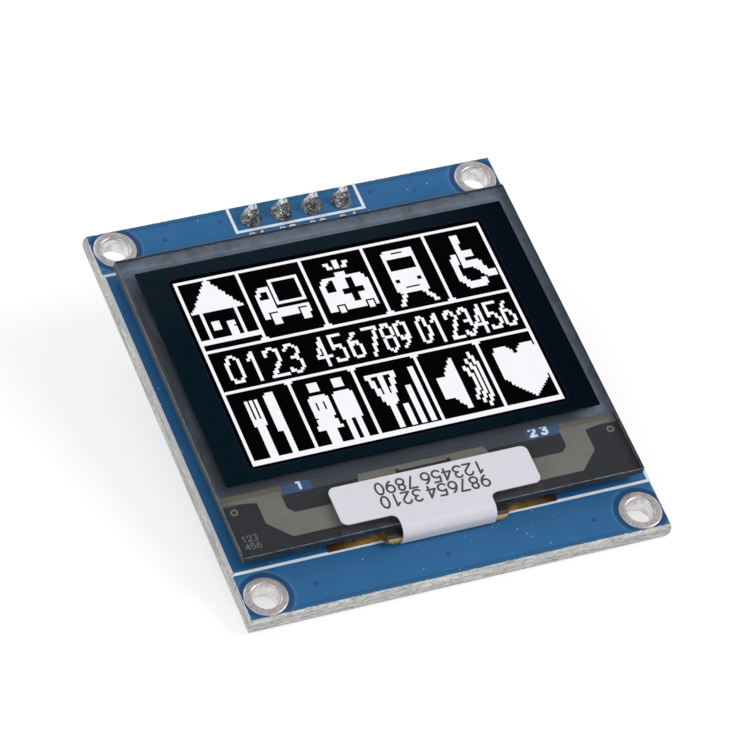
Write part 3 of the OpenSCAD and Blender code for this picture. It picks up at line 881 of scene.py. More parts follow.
@dataclass(frozen=True)
class Glow(Finish):
    """Lit display dots."""

    colour: str
    other: str

    def surface(self, nodes: Nodes) -> Value:
        """Plain light, a little uneven from dot to dot."""
        cloud = nodes.noise(nodes.place(), 900.0)
        colour = nodes.blend(cloud.below(0.5, 0.2), self.colour, self.other)
        return nodes.add("BsdfPrincipled", {"Base Color": "000000", "Emission Color": colour,
                                            "Emission Strength": 1.0, "Specular IOR Level": 0.0})


@dataclass(frozen=True)
class Striped(Finish):
    """Film with fine metal conductors, such as the ledge's tracks."""

    colour: str
    line: str
    patch: str
    pitch: float = 0.09
    share: float = 0.5
    roughness: float = 0.45
    amount: float = 0.4

    def surface(self, nodes: Nodes) -> Value:
        """Ground colour with even lines along Y."""
        x, _, _ = nodes.axes(nodes.place())
        lines = nodes.group(Effect.LINES, place=x, pitch=self.pitch, share=self.share)
        stain = nodes.group(Effect.STAIN, colour=nodes.blend(lines, self.colour, self.line), stain=self.patch,
                            scale=500.0, amount=self.amount)
        grain = nodes.group(Effect.GRAIN, scale=900.0, depth=0.08, roughness=self.roughness, spread=0.1)
        return nodes.principled(stain, grain)


@dataclass(frozen=True)
class StudioFloor(Finish):
    """White floor that keeps soft shadows."""

    lighting: float = 0.8
    seen: float = 0.38
    glow: float = 0.68

    def surface(self, nodes: Nodes) -> Value:
        """Pale floor that lights the module; the view and mirrors see it partly lit and partly glowing."""
        pale, lit = (nodes.add("BsdfDiffuse", {"Color": (grey, grey, grey, 1.0)})
                     for grey in (self.lighting, self.seen))
        glow = nodes.add("Emission", {"Color": "ffffff", "Strength": self.glow})
        white = nodes.add("AddShader", {0: lit, 1: glow})
        return nodes.add("MixShader", {0: nodes.ray("Camera", "Glossy", "Transmission"), 1: pale, 2: white})


TIN = Metal("tinned_copper", "d0cbcb", "a09a9c", 0.38, 6500.0, 0.4, 0.6, 0.6)
# Brighter copy of the tin for the bore: painted light in the shaded barrel.
BRIGHT_BARREL = Metal("plated_barrel_brightened", "f1eeee", "aaa6aa", 0.22, 2600.0, 0.8, 0.55, 0.85)
SOLDER = Metal("solder", "a5a6a2", "4a4846", 0.24, 3600.0, 0.8, 0.7)
JOINT = Metal("solder_joint", "d0cdc8", "3a332b", 0.13, 2600.0, 1.0, 0.85, relief=0.15)
PIN = Metal("plated_pin", "dadce2", "b1aca5", 0.28, 3000.0, 0.25, 0.4)
LEAD = Metal("tinned_lead", "c6c7c8", "93928e", 0.28, 3500.0, 0.25, 0.4)
SPACER = Solid("header_plastic", "131416", "1c1d20", 0.45, 5000.0, 0.3)
EPOXY = Solid("moulded_epoxy", "191a1c", "222326", 0.6, 9000.0, 0.5, specks=0.1, speck_colour="303236")
FERRITE = Solid("ferrite", "2c2c2e", "3b3a3a", 0.75, 7000.0, 0.7, specks=0.2, speck_colour="4a4948")
CERAMIC = Solid("capacitor_ceramic", "b08e63", "a17f55", 0.55, 6000.0, 0.3)
ALUMINA = Solid("resistor_body", "1a1b1e", "24262a", 0.4, 6000.0, 0.2)
SILK = Solid("silkscreen_ink", "e6eaf0", "d2dae3", 0.6, 6000.0, 0.4)
PAPER = Solid("label_paper", "d9d8e0", "d4d3dc", 0.42, 3000.0, 0.1, 0.5, 0.35)
INK = Solid("label_print", "453c3e", "544b4d", 0.6, 9000.0, 0.2)
FOAM = Solid("foam_tape", "dedbd2", "cac7be", 0.9, 5000.0, 0.9)
GROUND_EDGE = Solid("ground_glass_edge", "1d212a", "363c48", 0.35, 3500.0, 0.6, 0.7)
GLASS_RIM = Solid("chipped_glass_rim", "6c7279", "2c313a", 0.3, 5000.0, 0.8, 0.9)
GETTER = Solid("drying_sheet", "c9c6bd", "bab6ac", 0.9, 5000.0, 0.5)
PIXELS = Solid("pixel_layers", "050607", "0b0d10", 0.3, 5000.0, 0.1)
TAPE = Solid("ledge_tape", "17141a", "1b1820", 0.6, 2500.0, 0.1, 0.5, 0.2)
SILICON = Solid("driver_silicon", "565a63", "484c55", 0.25, 3000.0, 0.1)
VIA = Solid("tented_via", "17457f", "225a94", 0.35, 5000.0, 0.2)
# Darker blue that paints the board, in shade, seen through the clear strip behind the ledge.
SHADED_BOARD = Solid("shaded_board_blue", "1c466d", "183d61", 0.5, 5000.0, 0.1)
MARKS = Solid("tape_print", "6e6c70", "5c5a5e", 0.6, 5000.0, 0.1)
TRACKS = Striped("ledge_metal", "6a625b", "736a62", "5b544e")
RUNS = Striped("track_runs", "5b5148", "64594f", "4b433c")
SEAL = Frit("frit_seal", "252b37", "646c7b", "9a9a9c")
FLEX = FlexFilm("flex_film", "29242a", "b08540", "efcd92")
FRONT_GLASS = ClearGlass("front_glass", "f1f5f7")
CAP_GLASS = ClearGlass("cap_glass", "dfeaee")
LIT = Glow("lit_dots", "f9f8fd", "f7f5fc")


def dress(node: str, finish: Finish) -> None:
    """Gives a CAD node that keeps its own shape a finish."""
    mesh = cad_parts[node].data
    mesh.materials.clear()
    mesh.materials.append(finish.material())
    log.info("%s: dressed in %s", node, finish.name)


# ---- Sub-assemblies ----


@dataclass
class CircuitBoard:
    """The board with its hole rings, printed lines and tented vias."""

    bore: float = 2.1
    barrel: float = 0.05
    ring_steps: int = 96
    unround: float = 0.003
    line: float = 0.24
    thin_line: float = 0.14
    digit_line: float = 0.15
    ink: float = 0.02
    sunk: float = 0.01
    pin_pitch: float = 2.54
    header_half: float = 5.35
    header_front: float = 16.0
    frame_step: float = 0.2
    frame_reach: float = 1.35
    back_digits: float = 14.8
    edge_gap: float = 0.15
    outline_x: float = 16.95
    outline_front: float = -14.29
    outline_back: float = 14.42
    digit_gap: float = 0.8
    digit_height: float = 0.95
    digit_pitch: float = 0.85
    via_radius: float = 0.2
    via_rise: float = 0.025
    via_tip: float = 0.02
    vias: tuple[tuple[float, float], ...] = (
        (-11.1, 16.7), (-6.3, 17.4), (6.4, 17.4), (9.9, 16.7), (-11.2, -16.6), (-0.6, -16.7), (11.4, -16.7))

    def build(self) -> None:
        """Dresses the board and adds everything printed or plated on it."""
        _, self.high = span("circuit_board")
        ring_low, ring_high = span("hole_ring_back_right")
        hole = (ring_low + ring_high).tolist()
        pin_low, pin_high = span("header_pin_4")
        self.pin_y = (pin_low[1] + pin_high[1]) / 2
        self.top = self.high[2]
        self.pin_x = [(i - 1.5) * self.pin_pitch for i in range(4)]
        ring_radius, corner = (ring_high[0] - ring_low[0]) / 2, tuple(self.high[:2].tolist())
        dress("circuit_board", SolderMask("solder_mask", (hole[0] / 2, hole[1] / 2), ring_radius, corner,
                                          self.pin_y, self.pin_pitch))
        for name in ("front_left", "front_right", "back_left", "back_right"):
            self.ring("hole_ring_" + name)
        self.front_print()
        self.back_print()
        self.via_domes()

    def ring(self, node: str) -> None:
        """Tinned ring with a soft crown on both faces and a rounded way into its plated barrel.

        The profile goes down the bore, over the lower crown to the outer rim, back through the board and over
        the upper crown; it is turned about the hole. The bore has its own finish: shinier, and brighter than
        the tin, which paints light into the shaded bore.

        Args:
            node: the CAD ring that it stands for.
        """
        low, high = span(node)
        centre = (low + high) / 2
        outer, inner = (high[0] - low[0]) / 2, self.bore / 2
        rise = high[2] - self.top
        share = np.array([0.0, 0.02, 0.08, 0.2, 0.45, 0.7, 0.85, 0.94, 0.985, 1.0])
        lift = np.array([-0.8, 0.35, 0.75, 0.95, 1.0, 0.9, 0.55, -0.2, -1.2, -2.4])
        crown = np.column_stack([outer + (inner - outer) * share, lift * rise])
        back = np.array([[inner + self.barrel, rise], [inner + self.barrel, self.top - rise]])
        bore_start, bore_rows = 7, 5
        whole = np.vstack([crown + [0, self.top], crown[::-1] * [1, -1], back])
        profile = np.roll(whole, -bore_start, axis=0)
        angle = np.linspace(0, 2 * math.pi, self.ring_steps, endpoint=False)
        sway = 1 - self.unround * (1 + np.sin(3 * angle + centre[0]))
        form = turned(profile, centre, self.ring_steps, sway).banded(bore_rows * self.ring_steps, 1)
        form.piece(node + "_tin", [TIN, BRIGHT_BARREL], "tinned", [node], sharp=60)

    def front_print(self) -> None:
        """Header frame, panel outline and pin digits, as raised ink."""
        edge = self.high[1] - self.edge_gap
        h, x, front, back = self.header_half, self.outline_x, self.outline_front, self.outline_back
        lines = [np.array([[-h, edge], [-h, self.header_front], [h, self.header_front], [h, edge]]),
                 np.array([[-x, front], [x, front], [x, back], [-x, back], [-x, front + self.line / 2]])]
        strokes = [stroke for i, at in enumerate(self.pin_x) for stroke in digit_row(
            [0, i + 1], self.digit_height, self.digit_pitch, (at, back + self.digit_gap))]
        heights = (self.top - self.sunk, self.top + self.ink)
        form = lines_form(lines, self.line, *heights) + lines_form(strokes, self.digit_line, *heights)
        form.piece("silkscreen_front", [SILK], "board")

    def back_print(self) -> None:
        """Frames round the parts on the back, a frame round the pins and digits by them, as raised ink."""
        rooms = {("regulator_body", "regulator_leads"): 0.7, ("converter_body", "converter_leads"): 0.7,
                 ("coil_core",): 0.45, ("diode_body", "diode_leads"): 0.6}
        rooms |= {(f"{kind}_{i}",): 0.38 for kind in ("capacitor", "resistor") for i in range(1, 7)}
        forms = []
        for nodes, room in rooms.items():
            corners = np.array([span(node) for node in nodes])
            forms.append(self.frame_line(corners[:, 0].min(0) - room, corners[:, 1].max(0) + room))
        forms.append(self.frame_line((-self.header_half, self.header_front - self.frame_step),
                                     (self.header_half, self.pin_y + self.frame_reach)))
        strokes = [stroke * [-1, 1] + [at, self.back_digits]
                   for i, at in enumerate(self.pin_x) for stroke in digit_row([i + 1], 1.0, 1, (0, 0))]
        forms.append(lines_form(strokes, self.digit_line, -self.ink, self.sunk))
        joined(forms).piece("silkscreen_back", [SILK], "board")

    def frame_line(self, low: Sequence[float], high: Sequence[float]) -> Form:
        """Thin printed rectangle on the board's back, as four bars: front, back, left and right."""
        half = self.thin_line / 2
        x0, x1, y0, y1 = low[0], high[0], low[1], high[1]
        starts = np.array([[x0, y0], [x0, y1], [x0, y0], [x1, y0]]) - half
        stops = np.array([[x1, y0], [x1, y1], [x0, y1], [x1, y1]]) + half
        return block_field(starts[:, 0], stops[:, 0], starts[:, 1], stops[:, 1], -self.ink, self.sunk)

    def via_domes(self) -> None:
        """Low mask domes over the vias on both faces: height falls with the square of the radius."""
        circle = arc(0, 0, self.via_radius, self.via_radius, 0, 342, 20)
        share = np.array([1.0, 1.0, 0.8, 0.6, 0.4, 0.2, 0.0])
        height = self.top + self.via_rise * (1 - share ** 2) - [self.ink, 0, 0, 0, 0, 0, 0]
        forms = []
        for via in self.vias:
            dome = np.stack([level(circle * max(k, self.via_tip) + via, z) for k, z in zip(share, height)])
            forms += [loft(dome), loft(dome * [1, 1, -1] + [0, 0, self.top])]
        joined(forms).piece("tented_vias", [VIA], "board", sharp=80)


@dataclass
class PinHeader:
    """Four square pins, their spacer and the solder that holds them."""

    count: int = 4
    corner: float = 0.07
    tip_steps: tuple[float, ...] = (0.0, 0.03, 0.3, 0.38)
    tip_sizes: tuple[float, ...] = (0.42, 0.52, 0.94, 1.0)
    end_sizes: tuple[float, ...] = (1.0, 0.94, 0.5, 0.4)
    lump: float = 0.08
    neck: float = 0.36
    creep: float = 1.32
    sunk: float = 0.02
    solder_seed: int = 5

    def build(self) -> None:
        """Dresses the spacer and makes pins and solder."""
        dress("header_spacer", SPACER)
        random = np.random.default_rng(self.solder_seed)
        for i in range(1, self.count + 1):
            self.pin(i)
            self.solder(i, random)

    def pin(self, i: int) -> None:
        """Square pin: a rounded square carried up through heights, and made smaller at both ends.

        Args:
            i: number of the pin.
        """
        low, high = span(f"header_pin_{i}")
        centre, width = (low + high) / 2, high[0] - low[0]
        outline = rounded(width, width, self.corner, 4)
        steps = np.array(self.tip_steps)
        heights = np.concatenate([low[2] + steps, high[2] - steps[::-1]])
        rings = np.stack([level(outline * k + centre[:2], z)
                          for k, z in zip(self.tip_sizes + self.end_sizes, heights)])
        loft(rings).piece(f"header_pin_{i}_plated", [PIN], "pin", [f"header_pin_{i}"])

    def solder(self, i: int, random: np.random.Generator) -> None:
        """Solder joint: an egg that narrows from land to pin, with an uneven swell and small facets.

        The radius goes from the land's to the neck's as 1 - t ** 1.5 does to the power 0.9, where t is the
        share of the height. Four slow waves round the joint swell it, and random facets lie over them.

        Args:
            i: number of the pin.
            random: source of the unevenness.
        """
        low, high = span(f"pin_solder_{i}")
        top = span("circuit_board")[1][2]
        centre, land = (low + high) / 2, (high[0] - low[0]) / 2
        steps, turns, waves = 11, 30, 4
        t = np.linspace(0, 1, steps)[:, None]
        angle = np.linspace(0, 2 * math.pi, turns, endpoint=False)[None]
        phases = random.uniform(0, 2 * math.pi, waves)
        swell = 1 + sum(np.sin((k + 2) * angle + phases[k]) for k in range(waves)) / waves
        radius = self.neck + (land - self.neck) * (1 - t ** 1.5) ** 0.9
        radius = radius * (1 - 0.05 * swell * (0.4 + np.sin(t * math.pi)))
        height = top + (high[2] - top) * self.creep * (0.05 + 0.95 * t) * (1 - 0.1 * swell * t / 2)
        shape = (steps, turns)
        radius = radius - random.uniform(0, self.lump, shape) * np.sin(t * math.pi) ** 0.5
        angle = angle + random.uniform(-0.3, 0.3, shape) * 2 * math.pi / turns
        rings = polar(centre, radius, angle, height)
        foot = rings[:1] * [1, 1, 0] + [0, 0, top - self.sunk]
        form = loft(np.concatenate([foot, rings]))
        form.piece(f"pin_solder_{i}_joint", [JOINT], "solder", [f"pin_solder_{i}"], sharp=12)


class Mark(Enum):
    """Ways to paint on the display, with what the numbers of each mean."""

    BARS = "rectangles: left, top, right and bottom of each"
    GAPS = "rectangles that are cleared"
    AREA = "a polygon: x and y of its corners"
    HOLE = "a polygon that is cleared"
    LINE = "a line: its width, then x and y of its points"


SIGNS = {
    "house": (
        (Mark.AREA, 12.5, 0.8, 23, 16.2, 2, 16.2),
        (Mark.BARS, 5, 16, 6, 29, 19, 16, 20, 29, 1, 29, 25, 31, 8, 21, 11, 25, 14, 22, 17, 29),
        (Mark.GAPS, 16, 24, 17, 25)),
    "truck": (
        (Mark.BARS, 36, 7, 48, 19),
        (Mark.GAPS, 37, 8, 47, 18),
        (Mark.AREA, 29, 14, 31, 10.5, 35.2, 10.5, 35.2, 25, 29, 25),
        (Mark.HOLE, 30, 16, 31.2, 12.1, 34, 12.1, 34, 16),
        (Mark.BARS, 34, 21, 48.4, 25),
        (Mark.GAPS, 31, 22, 35, 25, 43, 22, 47, 25),
        (Mark.BARS, 32, 23, 35, 28, 44, 23, 47, 28)),
    "ambulance with a lamp and rays": (
        (Mark.AREA, 55.2, 27.6, 55.2, 15.2, 57.4, 12, 72.6, 12, 75, 15.2, 75, 27.6),
        (Mark.HOLE, 57, 19, 57, 16, 58.6, 13.4, 61.4, 13.4, 61.4, 19),
        (Mark.GAPS, 65.9, 13.4, 68.9, 25.4, 62.9, 17.9, 71.9, 20.9),
        (Mark.BARS, 63.4, 9.6, 66.8, 12.4, 64.4, 4, 65.6, 8.4),
        (Mark.LINE, 1.4, 61, 5.4, 62.2, 7.6),
        (Mark.LINE, 1.4, 69, 5.4, 67.8, 7.6),
        (Mark.GAPS, 58, 25, 62, 28, 70, 25, 74, 28),
        (Mark.BARS, 59, 26, 61, 29, 71, 26, 73, 29)),
    "tram from the front": (
        (Mark.AREA, 84.4, 25, 84.4, 6.4, 85.9, 5, 96.2, 5, 97.5, 6.4, 97.5, 25, 96, 26.2, 86, 26.2),
        (Mark.GAPS, 88.4, 6, 93.4, 7, 85.4, 9, 96.4, 15.4, 85.4, 19, 87.4, 21, 94.4, 19, 96.4, 21),
        (Mark.GAPS, 87.9, 23, 94.2, 24),
        (Mark.LINE, 1.3, 86.6, 26.6, 84, 31.4),
        (Mark.LINE, 1.3, 95, 26.6, 98, 31.4)),
    "wheelchair": (
        (Mark.BARS, 114, 4, 117, 8, 114, 4, 116, 20.4, 114, 12, 120, 14.8, 114, 17, 121, 20.4),
        (Mark.AREA, 118.4, 20.4, 121, 17, 122.3, 19.4, 122.6, 22, 123.5, 22.9, 126, 22.9, 126, 26, 122, 26),
        (Mark.AREA, 111.4, 12.6, 113.2, 12.6, 113.2, 17, 112.4, 18, 112.4, 24, 114.5, 27, 118.7, 27.3,
         118.7, 25.7, 120.9, 25.7, 120.9, 28.3, 119.8, 30, 113.6, 30, 110, 25.6, 110, 16)),
    "fork and knife": (
        (Mark.BARS, 7, 60, 8, 70, 9, 60, 10, 70, 11, 60, 12, 70, 8, 72, 11, 88, 17, 75, 19, 88),
        (Mark.AREA, 7, 69, 12, 69, 12, 71.6, 11, 73, 8, 73, 7, 71.6),
        (Mark.AREA, 15, 76, 15, 60, 16.2, 58.2, 19, 58.2, 19, 76)),
    "two people": (
        (Mark.BARS, 33.4, 58.4, 36.6, 62.4, 43.4, 58.4, 46.6, 62.4),
        (Mark.AREA, 31.4, 65.6, 32.6, 63.9, 37.4, 63.9, 38.6, 65.6, 38.6, 74, 31.4, 74),
        (Mark.AREA, 41.4, 65.6, 42.6, 63.9, 47.4, 63.9, 48.6, 65.6, 48.6, 74, 41.4, 74),
        (Mark.GAPS, 32.9, 67, 33.9, 73, 36.4, 67, 37.4, 73),
        (Mark.AREA, 33, 71, 37, 71, 40, 80, 30, 80),
        (Mark.BARS, 33.4, 80, 34.6, 87.6, 35.4, 80, 36.6, 87.6, 41.4, 66, 48.8, 77),
        (Mark.BARS, 42, 76, 44, 87.6, 46, 76, 48, 87.6)),
    "aerial and rising bars": (
        (Mark.AREA, 56, 60, 68.2, 60, 64, 75.4, 60, 75.4),
        (Mark.HOLE, 57.9, 61, 61, 61, 61, 72),
        (Mark.HOLE, 63, 61, 66.2, 61, 63, 72),
        (Mark.BARS, 61, 60, 63, 86.4, 66, 76, 68, 86.4, 70, 68, 72, 86.4, 74, 60, 76, 86.4)),
    "loudspeaker": (
        (Mark.AREA, 83, 67.6, 86.6, 67.6, 91.2, 60, 92, 60, 92, 84.4, 91, 84.4, 86.4, 77.8, 83, 77.8),
        (Mark.LINE, 1.15, 95.5, 65.5, 96.5, 67.7, 97.5, 70.7, 97.5, 75.4, 96.5, 77.8, 95.5, 80),
        (Mark.LINE, 1.15, 97.3, 62.4, 98.3, 64.6, 99.3, 67.6, 99.3, 77.8, 98.3, 80.2, 97.3, 82.4),
        (Mark.LINE, 1.15, 99.1, 59.3, 100.1, 61.5, 101.1, 64.5, 101.1, 80.2, 100.1, 82.6, 99.1, 84.8)),
    "heart": (
        (Mark.AREA, 108.6, 64, 110.4, 60.2, 115, 60.2, 118, 64.4, 121, 60.2, 125.4, 60.2, 127.2, 62.5,
         127.2, 74, 126.2, 77.4, 118.4, 85.2, 113, 79.6, 108.6, 74),),
}


@dataclass
class DotCanvas:
    """Grid of display dots that plain shapes are painted on; x runs right and y runs down, in dots."""

    columns: int = 128
    rows: int = 89
    bloom: float = 0.14
    pen: float = 1.1

    def __post_init__(self) -> None:
        """Starts with every dot off."""
        self.lit = np.zeros((self.rows, self.columns), bool)
        self.x, self.y = np.meshgrid(np.arange(self.columns) + 0.5, np.arange(self.rows) + 0.5)

    def rect(self, left: float, top: float, right: float, bottom: float, on: bool = True) -> None:
        """Paints or clears a rectangle."""
        self.lit[(self.x > left) & (self.x < right) & (self.y > top) & (self.y < bottom)] = on

    def shape(self, corners: Array, on: bool = True) -> None:
        """Paints or clears a polygon.

        A dot is inside where a level line from it crosses the outline an odd number of times.

        Args:
            corners: x and y of each corner.
            on: whether the dots are lit.
        """
        inside = np.zeros_like(self.lit)
        for (x0, y0), (x1, y1) in zip(corners, np.roll(corners, -1, axis=0)):
            if y0 != y1:
                crosses = (y0 > self.y) != (y1 > self.y)
                inside ^= crosses & (self.x < x0 + (self.y - y0) * (x1 - x0) / (y1 - y0))
        self.lit[inside] = on

    def stroke(self, line: Array, width: float) -> None:
        """Paints every dot that lies within half a width of a line.

        Args:
            line: the points of the line.
            width: the line's width.
        """
        for start, end in zip(line[:-1], line[1:]):
            step = end - start
            length = max(float(step @ step), 1e-9)
            t = np.clip(((self.x - start[0]) * step[0] + (self.y - start[1]) * step[1]) / length, 0, 1)
            away = np.hypot(self.x - start[0] - t * step[0], self.y - start[1] - t * step[1])
            self.lit[away < width / 2] = True

    def mark(self, kind: Mark, *numbers: float) -> None:
        """Paints one row of a sign.

        Args:
            kind: the way to paint.
            *numbers: what the kind says.
        """
        if kind is Mark.LINE:
            self.stroke(np.reshape(numbers[1:], (-1, 2)), numbers[0])
        elif kind in (Mark.AREA, Mark.HOLE):
            self.shape(np.reshape(numbers, (-1, 2)), kind is Mark.AREA)
        else:
            for box in np.reshape(numbers, (-1, 4)):
                self.rect(*box, on=kind is Mark.BARS)

    def number(self, values: Sequence[int], left: float, bottom: float, width: float, height: float,
               pitch: float) -> None:
        """Paints a row of digits on a base line, each in its own box, with corners on the middles of dots.

        Args:
            values: the digits.
            left: left edge of the first one.
            bottom: the base line.
            width: width of a digit.
            height: height of a digit.
            pitch: distance from one digit to the next.
        """
        for i, value in enumerate(values):
            for line in digit(value):
                dots = line * [width, -height / DIGIT_HEIGHT] + [round(left + i * pitch), bottom]
                self.stroke(np.floor(dots) + 0.5, self.pen)

    def form(self, left: float, top: float, dot: float, low: float, high: float) -> Form:
        """Thin blocks over the lit dots, one for each unbroken run in a row.

        Args:
            left: x of the picture's left edge on the module.
            top: y of the picture's top edge on the module.
            dot: pitch of the dots.
            low: height of the blocks' undersides.
            high: height of their faces.

        Returns:
            The blocks in one form.
        """
        edges = np.diff(np.pad(self.lit.astype(int), ((0, 0), (1, 1))), axis=1)
        row, start = np.nonzero(edges == 1)
        stop = np.nonzero(edges == -1)[1]
        bloom = self.bloom * dot
        return block_field(left + start * dot - bloom, left + stop * dot + bloom,
                           top - (row + 1) * dot - bloom, top - row * dot + bloom, low, high)


@dataclass
class DemoPicture:
    """The picture on the display: ten common signs in a frame, with rows of digits between them."""

    canvas: DotCanvas = field(default_factory=DotCanvas)
    upper: tuple[float, ...] = (25, 51, 77, 103)
    lower: tuple[float, ...] = (26, 52, 78, 104)
    band: tuple[float, float] = (34, 54)
    foot: tuple[float, float, float] = (-1.6, 0.5, 2.6)
    foot_rise: float = 2.6
    base_line: float = 51.0
    digit_height: float = 12.3
    words: tuple[tuple[tuple[int, ...], float, float, float], ...] = (
        ((0, 1, 2, 3), 6, 6.2, 8), ((4, 5, 6, 7, 8, 9), 42, 5, 6.9), ((0, 1, 2, 3, 4, 5, 6), 85.4, 4.3, 5.75))

    def paint(self) -> DotCanvas:
        """Paints the whole picture and returns its canvas."""
        self.grid()
        for rows in SIGNS.values():
            for kind, *numbers in rows:
                self.canvas.mark(kind, *numbers)
        for values, left, width, pitch in self.words:
            self.canvas.number(values, left, self.base_line, width, self.digit_height, pitch)
        return self.canvas

    def grid(self) -> None:
        """Outer frame, the two bands and the bars between the signs, with a small foot at each joint."""
        c, right, last = self.canvas, self.canvas.columns, self.canvas.rows
        c.rect(0, 0, right, last)
        c.rect(1, 1, right - 1, last - 2, False)
        upper, lower = self.band
        for y in self.band:
            c.rect(0, y, right, y + 1)
        for bars, start, stop, base, rise in ((self.upper, 0, upper, upper, -self.foot_rise),
                                              (self.lower, lower, last, lower + 1, self.foot_rise)):
            for x in bars:
                c.rect(x, start, x + 1, stop)
                c.shape(np.column_stack([np.array(self.foot) + x, (base, base + rise, base)]))


@dataclass
class DisplayPanel:
    """The two glasses, the layers between them, the foam under them, the polariser and the lit picture."""

    gap: float = 0.01
    bed: float = 0.004
    chamfer: float = 0.06
    film_edge: float = 0.03
    pocket_wall: float = 1.2
    pocket_depth: float = 0.3
    rim: float = 0.03
    seal_width: float = 1.8
    seal_step: float = 0.55
    dot: float = 0.1987
    picture_left: float = -12.72
    picture_top: float = 11.04
    window_centre: tuple[float, float] = (0.0, 2.27)
    window_half: tuple[float, float] = (13.05, 9.2)

    def build(self) -> None:
        """Makes the glasses, dresses the inner layers and lights the picture."""
        low, high = span("front_glass")
        plate = box_form(low + self.gap, high - self.gap).banded(4, 1)
        plate.piece("front_glass_plate", [FRONT_GLASS, GROUND_EDGE, GLASS_RIM], "glass", ["front_glass"],
                    self.chamfer, 2)
        self.cap()
        self.seal()
        self.film()
        for node, finish in (("pixel_layers", PIXELS), ("drying_sheet", GETTER), ("foam_strip_left", FOAM),
                             ("foam_strip_right", FOAM)):
            dress(node, finish)

    def cap(self) -> None:
        """Cap glass with the pocket in its upper face: an outer box, an inner one and the rim between."""
        low, high = span("cap_glass")
        low, high = low + self.gap, high - self.gap
        inner = (low[:2] + self.pocket_wall, high[:2] - self.pocket_wall)
        loops = ((low, high, low[2]), (low, high, high[2]), (*inner, high[2]),
                 (*inner, high[2] - self.pocket_depth))
        form = loft(np.stack([rectangle(*loop) for loop in loops])).banded(4, 1)
        form.piece("cap_glass_plate", [CAP_GLASS, GROUND_EDGE], "glass", ["cap_glass"], self.chamfer, 1)

    def seal(self) -> None:
        """Seal round the pocket, squeezed out to the front glass's rim on three sides, not at the front."""
        low, high = span("glass_seal")
        glass_low, glass_high = span("front_glass")
        outer = ((glass_low[0] + self.rim, low[1] + self.seal_step), glass_high[:2] - self.rim)
        inner = (low[:2] + self.seal_width, high[:2] - self.seal_width)
        top = high[2] - self.gap
        loops = ((*inner, low[2]), (*outer, low[2]), (*outer, top), (*inner, top))
        form = hoop(np.stack([rectangle(*loop) for loop in loops]))
        form.piece("seal_ring", [SEAL], "seal", ["glass_seal"])

    def film(self) -> None:
        """Polariser film with the lit dots on it."""
        low, high = span("polariser")
        top, seat = high[2] - self.gap, low[2] - self.gap - self.bed
        finish = DarkFilm("polariser_film", self.window_centre, self.window_half)
        form = box_form((low[0], low[1], seat), (high[0], high[1], top))
        form.piece("polariser_film", [finish], "polariser", ["polariser"], self.film_edge)
        dots = DemoPicture().paint().form(self.picture_left, self.picture_top, self.dot, top - PRINT_SUNK,
                                          top + PRINT_RISE)
        dots.piece("lit_dots", [LIT], "pixels")


@dataclass
class Ledge:
    """The bare strip of front glass with its tracks, tape and driver chip behind it."""

    rim: float = 0.03
    step: float = 0.54
    lap: float = 0.01
    runs: tuple[float, float] = (-11.2, 11.6)
    bead: float = 8.8
    tape_rows: tuple[tuple[tuple[int, ...], float, float], ...] = (
        ((1, 2, 3), -15.05, -12.3), ((4, 5, 6), -15.0, -13.0))
    gap_rows: tuple[tuple[tuple[int, ...], float, float], ...] = (((1,), -9.75, -8.62), ((2, 3), 9.8, -8.62))

    def build(self) -> None:
        """Dresses the three parts behind the ledge and fills in what lies round them."""
        dress("ledge_tracks", TRACKS)
        dress("ledge_tape", TAPE)
        dress("driver_chip", SILICON)
        self.low, self.high = span("ledge_tape")
        self.back = span("glass_seal")[0][1] + self.step
        glass_low, glass_high = span("front_glass")
        ends = ((glass_low[0] + self.rim, self.low[0]), (self.high[0], glass_high[0] - self.rim))
        # Dark blocks beside the tape out to the glass ends: partly tape, partly painted shade of the gap
        # under the ledge.
        self.blocks(ends, self.low[1], self.low[2], glass_low[2]).piece("shaded_tape_margins", [TAPE], "tape")
        self.seal_edge()
        self.print_rows()

    def blocks(self, ends: Sequence[tuple[float, float]], front: float, low: float, high: float) -> Form:
        """Blocks that reach back to the seal, one for each two ends in x."""
        x, one = np.array(ends), np.ones(len(ends))
        return block_field(x[:, 0], x[:, 1], front * one, self.back * one, low, high)

    def seal_edge(self) -> None:
        """Strip between tape and seal: tracks at both ends, a bead in the middle, and between them a darker
        blue sheet that paints the shaded board.
        """
        left, right, bead = *self.runs, self.bead
        for name, ends, finish, slot in (
                ("track_runs", ((self.low[0] + self.lap, left), (right, self.high[0] - self.lap)), RUNS,
                 "tracks"),
                ("seal_bead", ((-bead, bead),), SEAL, "seal"),
                # Painted shade: a darker blue sheet in place of the board seen through the strip.
                ("shaded_board_gap", ((left, -bead), (bead, right)), SHADED_BOARD, "tape")):
            form = self.blocks(ends, self.high[1] + self.lap, self.low[2] + self.lap,
                               self.high[2] - self.lap)
            form.piece(name, [finish], slot)

    def print_rows(self) -> None:
        """Small digits on the tape's left corner and on the blue sheet that paints the shaded board."""
        for name, rows, size, pitch, width, top, finish in (
                ("tape_digits", self.tape_rows, 0.5, 0.45, 0.07, self.high[2], MARKS),
                ("gap_digits", self.gap_rows, 0.72, 0.95, 0.22, self.high[2] - self.lap, SILK)):
            strokes = [stroke for values, x, y in rows for stroke in digit_row(values, size, pitch, (x, y))]
            lines_form(strokes, width, top - LINE_SUNK, top + PRINT_RISE).piece(name, [finish], "tape")


